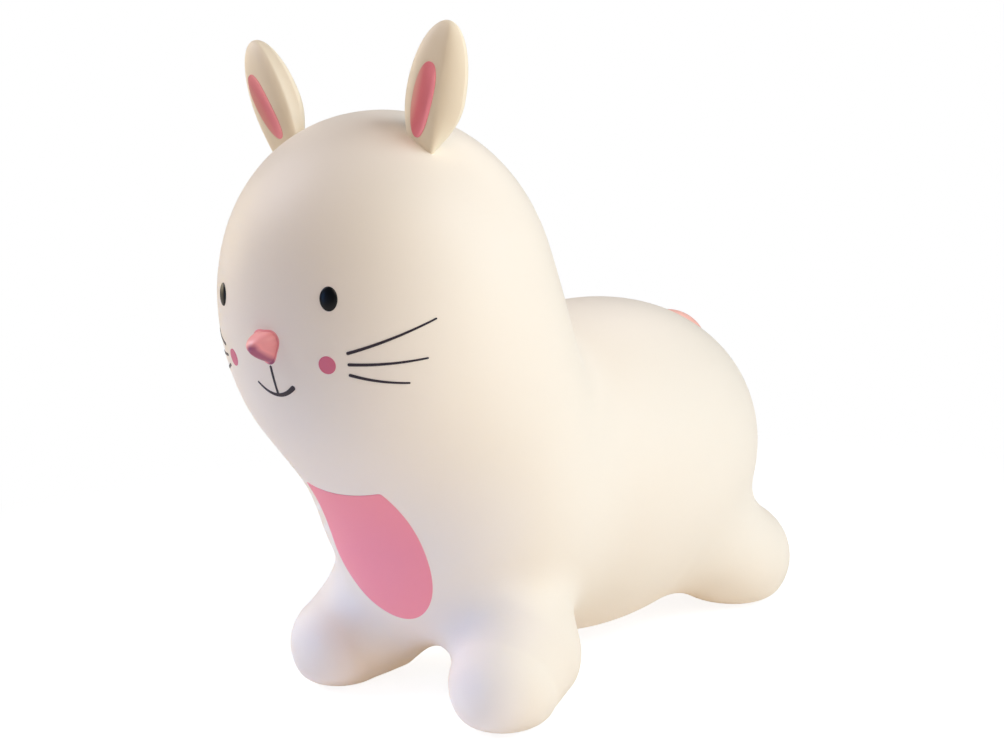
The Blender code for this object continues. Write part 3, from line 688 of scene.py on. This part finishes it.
def ear_front(side, across, height):
    """Depth of the ear's front at a spot of its flat outline, the dish included."""
    share = np.sqrt(np.maximum(1 - (height / EAR_HALF_LENGTH) ** 2, 0))
    bulge = np.ones_like(share)
    for _ in range(FRONT_ROUNDS):
        own = across / share + front_inward(side, height, bulge)
        bulge = front_bulge(side, np.clip(own / front_width(height, bulge), -1, 1))
    return -EAR_FRONT_THICKNESS * share * bulge + dish_depth(side, across, height)


def ear_lining(word, side, material):
    angles = np.arange(LINING_SIDES) / LINING_SIDES * math.tau
    power = 2 / DISH_SQUARENESS
    along = np.sign(np.sin(angles)) * np.abs(np.sin(angles)) ** power
    wide = np.sign(np.cos(angles)) * np.abs(np.cos(angles)) ** power
    wide *= DISH_WIDTHS[side] * (1 + DISH_TAPER * along)
    flat = disc_grid(np.stack([wide, along * DISH_HALF_LENGTH], axis=1), LINING_RINGS)
    across, height = dish_place(side, flat[..., 0], flat[..., 1])
    depth = ear_front(side, across, height)
    place = ear_frame(side)
    grids = []
    for level in (depth - FILM_STAND, depth + FILM_SINK):
        points = in_world(np.stack([across, level, height], axis=-1).reshape(-1, 3), place)
        grids.append(points.reshape(*flat.shape[:2], 3))
    piece = solid_from_grids(word + "_lining", *grids, True, material)
    # Painted light: each lining turns paler toward its right wall, where light falls into the trough
    local = in_world(mesh_points(piece.data), place.inverted())
    toward_left = dish_across(side, local[:, 0], local[:, 2]) / DISH_WIDTHS[side]
    base, more, start = LINING_LIGHT_SHARES[side]
    lit_wall = np.clip((-toward_left - start) / (1 - start), 0, 1)
    put_attribute(piece.data, base + more * lit_wall * lit_wall * (3 - 2 * lit_wall))
    dress(piece, word + "_ear_lining")


# Bumps


def bump(name, place, outline, profile, material):
    """A bump on the skin. Its profile is the height for a share of the way out, and a turn round it."""
    rim = np.linspace(BUMP_RIM, 1, BUMP_RIM_RINGS)
    shares = np.concatenate([np.linspace(0, BUMP_RIM, BUMP_RINGS), rim[1:]])
    flat = (shares[:, None, None] * np.array(outline)[None]).reshape(-1, 2)
    angles = np.arange(len(outline)) / len(outline) * math.tau
    heights = profile(shares[:, None], angles[None])
    heights = np.broadcast_to(heights, (len(shares), len(outline))).reshape(-1)
    points = in_world(np.concatenate([flat, np.full((len(flat), 1), BUMP_CAST)], axis=1), place)
    outward = np.array(place)[:3, 2]
    on_skin = cast(points, -outward)
    top = on_skin + heights[:, None] * outward
    bottom = settled(on_skin, -BUMP_SINK)
    size = (len(shares), len(outline), 3)
    return solid_from_grids(name, top.reshape(size), bottom.reshape(size), True, material)


def dome(stand, power):
    """The profile of a bump that is round all over."""
    return lambda shares, angles: stand * np.sqrt(np.maximum(1 - shares**power, 0))


def nose_outline():
    angles = np.arange(NOSE_SIDES) / NOSE_SIDES * math.tau
    reach = NOSE_RADIUS * (1 + NOSE_CORNER_SHARE * np.cos(NOSE_CORNERS * (angles + math.pi / 2)))
    return np.stack([reach * np.cos(angles), reach * np.sin(angles)], axis=1)


def nose_profile(shares, angles):
    """A soft three-sided peak inside a flat painted brim. It is fuller above than below."""
    inner = np.clip(shares / NOSE_BRIM, 0, 1)
    above = 0.5 + 0.5 * np.sin(angles)
    curve = NOSE_CURVE[0] + NOSE_CURVE[1] * above
    steepness = NOSE_STEEPNESS[0] + NOSE_STEEPNESS[1] * above
    peak = (1 - inner**curve) ** steepness
    return FILM_STAND + (NOSE_STAND - FILM_STAND) * peak


def nose(material):
    place = face_frame(0, NOSE_HEIGHT)
    piece = bump("nose_bump", place, nose_outline(), nose_profile, material)
    # Painted shade on the nose: dark below its peak and a little to the left, weaker on its left side
    across, upward = (in_world(mesh_points(piece.data), place.inverted()) / NOSE_RADIUS)[:, :2].T
    low = np.clip((NOSE_SHADE_TOP - upward) / NOSE_SHADE_TOP_FADE, 0, 1)
    off_centre = np.abs(across - NOSE_SHADE_LEFT)
    near = np.clip(NOSE_SHADE_PLATEAU - off_centre / NOSE_SHADE_SIDE_FADE, 0, 1)
    left = np.clip((across - NOSE_LEFT_START) / NOSE_LEFT_FADE, 0, 1)
    left = left * np.clip((NOSE_LEFT_TOP - upward) / NOSE_LEFT_TOP_FADE, 0, 1)
    put_attribute(piece.data, np.maximum(NOSE_SHADE * low * near, NOSE_LEFT_SHADE * left))
    dress(piece, "nose")


def tail(material):
    outward = Vector((0, math.cos(TAIL_LIFT), math.sin(TAIL_LIFT)))
    centre = Vector((0, RUMP[0], RUMP[1]))
    spot = Vector(cast([centre + outward * TAIL_CAST], -outward)[0])
    place = frame_on(spot, outward_at(spot))
    outline = oval(TAIL_RADIUS, TAIL_RADIUS, TAIL_SIDES)
    piece = bump("tail_dome", place, outline, dome(TAIL_STAND, ROUND_POWER), material)
    dress(piece, "tail")


def eyes(material):
    for word, side in (("left", 1), ("right", -1)):
        place = face_frame(side * EYE_TURN, EYE_HEIGHT)
        piece = bump(word + "_eye_oval", place, oval(*EYE_SIZES), dome(EYE_STAND, EYE_POWER), material)
        dress(piece, word + "_eye")


# Painted marks


def cheeks(material):
    for word, side in (("left", 1), ("right", -1)):
        place = face_frame(side * CHEEK_TURN, CHEEK_HEIGHT)
        spot = disc_grid(oval(CHEEK_RADIUS, CHEEK_RADIUS), CHEEK_RINGS)
        piece = film(word + "_cheek_spot", spot, place, True, material)
        dress(piece, word + "_cheek")


WHISKER_ROOT_TURN = math.radians(30.4)
# Row, height of the root, turn of the tip in degrees, height of the tip, and sag
WHISKERS = (
    ("top", 0.2894, 59, 0.3100, 0.0010),
    ("middle", 0.2820, 56, 0.2840, 0.0008),
    ("low", 0.2750, 50, 0.2677, 0.0010),
)
WHISKER_ROOT_LINE = 0.0022
WHISKER_TIP_LINE = 0.0012
WHISKER_CORNERS = (0, 0.04, 0.97, 1)
WHISKER_STEPS = (6, 40, 6)


def whiskers(material):
    for word, side in (("left", 1), ("right", -1)):
        for row, root_height, tip_degrees, tip_height, sag in WHISKERS:
            tip_turn = math.radians(tip_degrees)
            middle_turn = (WHISKER_ROOT_TURN + tip_turn) / 2
            place = face_frame(side * middle_turn, (root_height + tip_height) / 2)
            back = place.inverted()
            root = np.array((back @ face_spot(side * WHISKER_ROOT_TURN, root_height))[:2])
            tip = np.array((back @ face_spot(side * tip_turn, tip_height))[:2])
            shares = stroke_shares(WHISKER_CORNERS, WHISKER_STEPS)
            line = root + (tip - root) * shares[:, None]
            line[:, 1] -= sag * 4 * shares * (1 - shares)
            widths = WHISKER_ROOT_LINE + (WHISKER_TIP_LINE - WHISKER_ROOT_LINE) * shares
            piece = film(f"{word}_{row}_hair", stroke_grid(line, widths), place, False, material)
            dress(piece, f"{word}_{row}_whisker")


LIP_GAP = 0.0001
LIP_DROP = 0.0219
LIP_LINE = 0.0020
LIP_STEPS = 30
LIP_STAND = FILM_STAND * 0.9
SMILE_HALF_WIDTH = 0.0190
SMILE_RISE = 0.0085
# The left half of the smile beside the right one
SMILE_LEFT_WIDTH_SHARE = 0.93
SMILE_LEFT_RISE_SHARE = 0.82
SMILE_RIGHT_LINE = 0.0013
SMILE_LEFT_LINE = 0.0037
SMILE_CORNERS = (-1, -0.94, 0.94, 1)
SMILE_STEPS = (6, 60, 8)


def mouth(material):
    nose_foot = NOSE_HEIGHT - NOSE_RADIUS * (1 + NOSE_CORNER_SHARE)
    place = face_frame(0, nose_foot - LIP_GAP - LIP_DROP / 2)
    shares = stroke_shares(SMILE_CORNERS, SMILE_STEPS)
    reach = SMILE_HALF_WIDTH * np.where(shares > 0, SMILE_LEFT_WIDTH_SHARE, 1.0)
    rise = SMILE_RISE * np.where(shares > 0, SMILE_LEFT_RISE_SHARE, 1.0)
    line = np.stack([reach * shares, rise * shares**2 - LIP_DROP / 2], axis=1)
    widths = SMILE_RIGHT_LINE + (SMILE_LEFT_LINE - SMILE_RIGHT_LINE) * (shares + 1) / 2
    smile = film("smile_line", stroke_grid(line, widths), place, False, material)
    drop = np.linspace(LIP_DROP / 2, -LIP_DROP / 2, LIP_STEPS)
    grid = stroke_grid(np.stack([np.zeros(LIP_STEPS), drop], axis=1), np.full(LIP_STEPS, LIP_LINE))
    lip = film("lip_line", grid, place, False, material, LIP_STAND)
    dress(smile, "mouth_line")
    dress(lip, "mouth_line")


# The chest patch: an oval round its widest height, softly cut by a sagging top edge
PATCH_HALF_WIDTH = 0.049
PATCH_ACROSS = -0.0014
PATCH_WIDEST = 0.1250
PATCH_DROP = 0.0550
PATCH_RISE = 0.0940
PATCH_TOP = 0.1780
PATCH_TOP_SAG = 0.0040
PATCH_TOP_HALF = 0.038
PATCH_CORNER = 0.0022
PATCH_SIDES = 240
PATCH_RINGS = 30


def chest_patch(material):
    angles = np.arange(PATCH_SIDES) / PATCH_SIDES * math.tau
    across = PATCH_HALF_WIDTH * np.cos(angles)
    cut = PATCH_TOP - PATCH_WIDEST + PATCH_TOP_SAG * (across / PATCH_TOP_HALF) ** 2
    up = np.sin(angles)
    up = up * np.where(up > 0, PATCH_RISE, PATCH_DROP)
    up = (up + cut - np.sqrt((up - cut) ** 2 + PATCH_CORNER * PATCH_CORNER)) / 2
    outline = np.stack([across + PATCH_ACROSS, up], axis=1)
    start = Vector((0, -PATCH_CAST, PATCH_WIDEST))
    spot = Vector(cast([start], -CENTRE_TO_FRONT)[0])
    place = frame_on(spot, CENTRE_TO_FRONT)
    piece = film("chest_panel", disc_grid(outline, PATCH_RINGS), place, True, material)
    dress(piece, "chest_patch")


# Valve


def valve_seat(material):
    seat_low, seat_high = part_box("valve_seat")
    neck = SKIN_HOLE_RADIUS - TOUCH_GAP
    bore = PLUG_STEM_RADIUS + TOUCH_GAP
    flange_top = seat_low.z + SEAT_FLANGE_THICKNESS
    collar_low = seat_high.z - SEAT_COLLAR_HEIGHT
    profile = [
        (bore, seat_low.z),
        (SEAT_FLANGE_RADIUS, seat_low.z),
        (SEAT_FLANGE_RADIUS, flange_top),
        (neck, flange_top),
        (neck, collar_low),
        (SEAT_COLLAR_RADIUS, collar_low),
        (SEAT_COLLAR_RADIUS, collar_low + SEAT_COLLAR_HEIGHT * SEAT_COLLAR_RIM),
        (neck, seat_high.z),
        (bore, seat_high.z),
    ]
    seat = turned("valve_grommet", eased(profile, SEAT_EASE), material)
    seat.location.y = VALVE_BACK
    dress(seat, "valve_seat")


def valve_plug(material):
    low, high = (corner.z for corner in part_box("valve_plug"))
    top = low + PLUG_HEAD_THICKNESS
    length = high - top
    neck = PLUG_STEM_RADIUS - PLUG_RIB_RISE
    pitch = length / (PLUG_RIB_COUNT + PLUG_PLAIN_STEM)
    dish, edge = (PLUG_HEAD_RADIUS * share for share in PLUG_DISH_SHARES)
    profile = [(0, low + PLUG_DISH_DEPTH), (dish, low + PLUG_DISH_DEPTH), (edge, low)]
    profile += [(PLUG_HEAD_RADIUS, low), (PLUG_HEAD_RADIUS, top), (neck, top)]
    for rib in range(PLUG_RIB_COUNT):
        for radius, place in zip((neck, PLUG_STEM_RADIUS, neck), PLUG_RIB_PLACES):
            profile.append((radius, top + pitch * (rib + place)))
    profile += [(PLUG_TIP_RADIUS, high), (0, high)]
    plug = turned("valve_stopper", eased(profile, PLUG_EASE), material)
    plug.location.y = VALVE_BACK
    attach(plug, "plug")
    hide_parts("valve_plug")


# Materials


# For each paint: colour, roughness and cloudy tint. The colours are as a screen shows them.
CREAM = ((0.965, 0.935, 0.885), 0.52, (0.93, 0.89, 0.83))
WARM_CREAM = ((0.965, 0.918, 0.825), 0.52, (0.93, 0.87, 0.77))
LINING_PINK = ((0.985, 0.54, 0.61), 0.5, (0.95, 0.48, 0.56))
# The colour of the painted light on the linings' right walls
LINING_LIGHT_COLOUR = (1.0, 0.76, 0.735)
NOSE_PINK = ((1.0, 0.67, 0.67), 0.38, (0.96, 0.58, 0.59))
# The colour of the painted shade on the nose
NOSE_SHADE_COLOUR = (0.63, 0.32, 0.46)
TAIL_PINK = ((0.99, 0.755, 0.70), 0.5, (0.97, 0.69, 0.65))
EYE_BLACK = ((0.035, 0.05, 0.07), 0.34, (0.02, 0.03, 0.04))
CHEEK_PINK = ((0.84, 0.43, 0.54), 0.5, (0.80, 0.42, 0.52))
DARK_INK = ((0.13, 0.09, 0.16), 0.42, (0.17, 0.12, 0.20))
PATCH_PINK = ((0.995, 0.60, 0.66), 0.5, (0.975, 0.55, 0.615))
VALVE_WHITE = ((0.92, 0.90, 0.87), 0.4, (0.87, 0.85, 0.82))
VINYL_GRAIN = 0.05
EYE_GRAIN = 0.01
VINYL_SPECULAR = 0.5
EYE_SPECULAR = 0.3
# For each noise: scale and detail
CLOUDS = (9.0, 4.0)
WEAR = (45.0, 6.0)
GRAIN = (900.0, 3.0)
CLOUD_SPAN = (0.3, 0.7)
CLOUD_SHARE = 0.03
POLISH_SPREAD = 0.06
GRAIN_DEPTH = 0.0004


def to_linear(colour):
    return tuple(((part + 0.055) / 1.055) ** 2.4 if part > 0.04 else part / 12.92 for part in colour)


def tinted(nodes, links, colour, other, factor):
    """A mix of two colours, the first of which may be another node's."""
    mix = nodes.new("ShaderNodeMix")
    mix.data_type = "RGBA"
    if isinstance(colour, tuple):
        mix.inputs["A"].default_value = (*to_linear(colour), 1)
    else:
        links.new(colour, mix.inputs["A"])
    mix.inputs["B"].default_value = (*to_linear(other), 1)
    links.new(factor, mix.inputs["Factor"])
    return mix.outputs["Result"]


def painted(name, paint, grain=VINYL_GRAIN, specular=VINYL_SPECULAR, light_or_shade=None):
    """Moulded vinyl or paint on it: cloudy colour, uneven polish, a fine pebbled grain, and where given a
    painted light or shade mixed in by each point's share.
    """
    colour, roughness, tint = paint
    material = bpy.data.materials.new(name)
    material.use_nodes = True
    nodes = material.node_tree.nodes
    links = material.node_tree.links
    shader = nodes["Principled BSDF"]
    shader.inputs["Specular IOR Level"].default_value = specular
    place = nodes.new("ShaderNodeTexCoord")

    def noise(scale, detail):
        texture = nodes.new("ShaderNodeTexNoise")
        texture.inputs["Scale"].default_value = scale
        texture.inputs["Detail"].default_value = detail
        links.new(place.outputs["Object"], texture.inputs["Vector"])
        return texture.outputs["Fac"]

    span = nodes.new("ShaderNodeMapRange")
    span.inputs["From Min"].default_value, span.inputs["From Max"].default_value = CLOUD_SPAN
    span.inputs["To Max"].default_value = CLOUD_SHARE
    links.new(noise(*CLOUDS), span.inputs["Value"])
    shown = tinted(nodes, links, colour, tint, span.outputs["Result"])
    # Painted light or shade, mixed in by each point's share
    if light_or_shade:
        share = nodes.new("ShaderNodeAttribute")
        share.attribute_name = PAINTED_SHADING
        shown = tinted(nodes, links, shown, light_or_shade, share.outputs["Fac"])
    links.new(shown, shader.inputs["Base Color"])
    polish = nodes.new("ShaderNodeMapRange")
    polish.inputs["To Min"].default_value = roughness - POLISH_SPREAD
    polish.inputs["To Max"].default_value = roughness + POLISH_SPREAD
    links.new(noise(*WEAR), polish.inputs["Value"])
    links.new(polish.outputs["Result"], shader.inputs["Roughness"])
    pebbles = nodes.new("ShaderNodeBump")
    pebbles.inputs["Strength"].default_value = grain
    pebbles.inputs["Distance"].default_value = GRAIN_DEPTH
    links.new(noise(*GRAIN), pebbles.inputs["Height"])
    links.new(pebbles.outputs["Normal"], shader.inputs["Normal"])
    return material


# Camera, stage and light


CAMERA_PLACE = (0.76972, -0.91646, 0.42356)
CAMERA_AHEAD = (-0.64422, 0.74844, -0.15754)
CAMERA_ROLL = math.radians(-2.8734)
CAMERA_SENSOR = 36.0
CAMERA_LENS = 53.30


def camera():
    data = bpy.data.cameras.new("camera")
    data.sensor_width = CAMERA_SENSOR
    data.lens = CAMERA_LENS
    item = bpy.data.objects.new("camera", data)
    bpy.context.scene.collection.objects.link(item)
    ahead = Vector(CAMERA_AHEAD).normalized()
    level = ahead.cross(UP).normalized()
    upright = level.cross(ahead)
    right = level * math.cos(CAMERA_ROLL) + upright * math.sin(CAMERA_ROLL)
    up = upright * math.cos(CAMERA_ROLL) - level * math.sin(CAMERA_ROLL)
    turn = Matrix((right, up, -ahead)).transposed().to_4x4()
    item.matrix_world = Matrix.Translation(CAMERA_PLACE) @ turn
    bpy.context.scene.camera = item


def area_light(name, place, target, size, power, colour, spread=math.pi):
    data = bpy.data.lights.new(name, "AREA")
    data.spread = spread
    data.shape = "DISK"
    data.size = size
    data.energy = power
    data.color = colour
    item = bpy.data.objects.new(name, data)
    bpy.context.scene.collection.objects.link(item)
    turn = (Vector(target) - Vector(place)).to_track_quat("-Z", "Y")
    item.matrix_world = Matrix.Translation(place) @ turn.to_matrix().to_4x4()
    item.visible_camera = False


# Name by its side in the picture, turn round the toy from straight ahead of it, height angle, watts, colour
LIGHTS = (
    ("left_low", -80, 15, 18.1, (1.0, 0.847, 0.602)),
    ("left_high", -60, 40, 33.0, (0.90, 0.898, 1.0)),
    ("right_low", 100, 0, 18.4, (0.976, 1.0, 0.883)),
    ("right_high", 100, 40, 27.2, (0.971, 0.985, 1.0)),
    ("right_back", 120, 20, 11.5, (0.39, 0.70, 1.0)),
    ("front_high", 60, 40, 16.4, (1.0, 0.779, 0.619)),
    ("back_high", 180, 40, 12.5, (1.0, 0.89, 0.84)),
)
LIGHT_AIM = Vector((0, 0, 0.25))
LIGHT_REACH = 2.6
LIGHT_SIZE = 1.4
FEET_AIM = Vector((0.02, -0.15, 0.03))
# The narrow cool light on the front feet, with its turn and height angle as above
FEET_LIGHT_ANGLES = (-20, 8)
FEET_LIGHT_REACH = 1.8
FEET_LIGHT_SIZE = 0.5
FEET_LIGHT_POWER = 0.235
FEET_LIGHT_COLOUR = (0.24, 0.47, 1.0)
FEET_LIGHT_SPREAD = math.radians(12)
FLOOR_RADIUS = 6.0
FLOOR_SIDES = 96
FLOOR_DROP = 0.0005
# What the floor throws back at the toy, with a warm glow of its own that lights the toy though the floor is
# no lamp, and what the camera sees of it
FLOOR_PAPER = (0.80, 0.80, 0.80)
FLOOR_GLOW = (0.161, 0.103, 0.050)
FLOOR_SHADED = (0.30, 0.30, 0.31)
FLOOR_SHINE = 0.86
FLOOR_WHITE_FROM = 0.35
FLOOR_WHITE_TO = 0.9


def towards(turn, rise):
    turn, rise = math.radians(turn), math.radians(rise)
    return Vector((math.sin(turn) * math.cos(rise), -math.cos(turn) * math.cos(rise), math.sin(rise)))


def stage_and_light():
    """The lamps, a world that gives no light but is seen as white, and the floor."""
    for name, turn, rise, power, colour in LIGHTS:
        place = LIGHT_AIM + towards(turn, rise) * LIGHT_REACH
        area_light(name, place, LIGHT_AIM, LIGHT_SIZE, power, colour)
    place = FEET_AIM + towards(*FEET_LIGHT_ANGLES) * FEET_LIGHT_REACH
    area_light(
        "feet", place, FEET_AIM, FEET_LIGHT_SIZE, FEET_LIGHT_POWER, FEET_LIGHT_COLOUR, FEET_LIGHT_SPREAD
    )
    world = bpy.data.worlds.new("studio")
    bpy.context.scene.world = world
    world.use_nodes = True
    nodes = world.node_tree.nodes
    links = world.node_tree.links
    nodes.clear()
    out = nodes.new("ShaderNodeOutputWorld")
    ambient = nodes.new("ShaderNodeBackground")
    ambient.inputs["Color"].default_value = (0, 0, 0, 1)
    seen = nodes.new("ShaderNodeBackground")
    seen.inputs["Color"].default_value = (1, 1, 1, 1)
    mix = nodes.new("ShaderNodeMixShader")
    path = nodes.new("ShaderNodeLightPath")
    links.new(path.outputs["Is Camera Ray"], mix.inputs[0])
    links.new(ambient.outputs[0], mix.inputs[1])
    links.new(seen.outputs[0], mix.inputs[2])
    links.new(mix.outputs[0], out.inputs[0])
    floor()


def floor():
    shape = bmesh.new()
    bmesh.ops.create_circle(shape, cap_ends=True, radius=FLOOR_RADIUS, segments=FLOOR_SIDES)
    mesh = bpy.data.meshes.new("floor")
    shape.to_mesh(mesh)
    shape.free()
    item = new_object("floor", mesh, floor_material())
    item.location.z = -FLOOR_DROP


def floor_material():
    """White paper that also glows warm onto the toy, though it is no lamp: it takes a faint shadow near the
    toy, and is plain white further out.
    """
    material = bpy.data.materials.new("white paper")
    material.use_nodes = True
    nodes = material.node_tree.nodes
    links = material.node_tree.links
    nodes.clear()
    out = nodes.new("ShaderNodeOutputMaterial")
    paper = nodes.new("ShaderNodeBsdfDiffuse")
    paper.inputs["Color"].default_value = (*FLOOR_PAPER, 1)
    faint = nodes.new("ShaderNodeBsdfDiffuse")
    faint.inputs["Color"].default_value = (*FLOOR_SHADED, 1)
    glow = nodes.new("ShaderNodeEmission")
    glow.inputs["Strength"].default_value = FLOOR_SHINE
    white = nodes.new("ShaderNodeEmission")
    own_glow = nodes.new("ShaderNodeEmission")
    own_glow.inputs["Color"].default_value = (*FLOOR_GLOW, 1)
    lit = nodes.new("ShaderNodeAddShader")
    links.new(paper.outputs[0], lit.inputs[0])
    links.new(own_glow.outputs[0], lit.inputs[1])
    near = nodes.new("ShaderNodeAddShader")
    links.new(faint.outputs[0], near.inputs[0])
    links.new(glow.outputs[0], near.inputs[1])
    place = nodes.new("ShaderNodeTexCoord")
    reach = nodes.new("ShaderNodeVectorMath")
    reach.operation = "LENGTH"
    links.new(place.outputs["Object"], reach.inputs[0])
    span = nodes.new("ShaderNodeMapRange")
    span.interpolation_type = "SMOOTHSTEP"
    span.inputs["From Min"].default_value = FLOOR_WHITE_FROM
    span.inputs["From Max"].default_value = FLOOR_WHITE_TO
    links.new(reach.outputs["Value"], span.inputs["Value"])
    shown = nodes.new("ShaderNodeMixShader")
    links.new(span.outputs["Result"], shown.inputs[0])
    links.new(near.outputs[0], shown.inputs[1])
    links.new(white.outputs[0], shown.inputs[2])
    path = nodes.new("ShaderNodeLightPath")
    mix = nodes.new("ShaderNodeMixShader")
    links.new(path.outputs["Is Camera Ray"], mix.inputs[0])
    links.new(lit.outputs[0], mix.inputs[1])
    links.new(shown.outputs[0], mix.inputs[2])
    links.new(mix.outputs[0], out.inputs[0])
    return material


def main():
    bpy.context.scene.view_settings.view_transform = "Standard"
    camera()
    body_skin(painted("cream vinyl", CREAM))
    warm_vinyl = painted("ear vinyl", WARM_CREAM)
    lining = painted("ear lining", LINING_PINK, light_or_shade=LINING_LIGHT_COLOUR)
    for word, side in (("left", 1), ("right", -1)):
        ear_leaf(word, side, warm_vinyl)
        ear_lining(word, side, lining)
    nose(painted("nose pink", NOSE_PINK, light_or_shade=NOSE_SHADE_COLOUR))
    tail(painted("tail pink", TAIL_PINK))
    eyes(painted("eye black", EYE_BLACK, EYE_GRAIN, EYE_SPECULAR))
    cheeks(painted("cheek pink", CHEEK_PINK))
    ink = painted("dark ink", DARK_INK)
    mouth(ink)
    whiskers(ink)
    chest_patch(painted("chest pink", PATCH_PINK))
    rubber = painted("valve rubber", VALVE_WHITE)
    valve_seat(rubber)
    valve_plug(rubber)
    stage_and_light()


main()
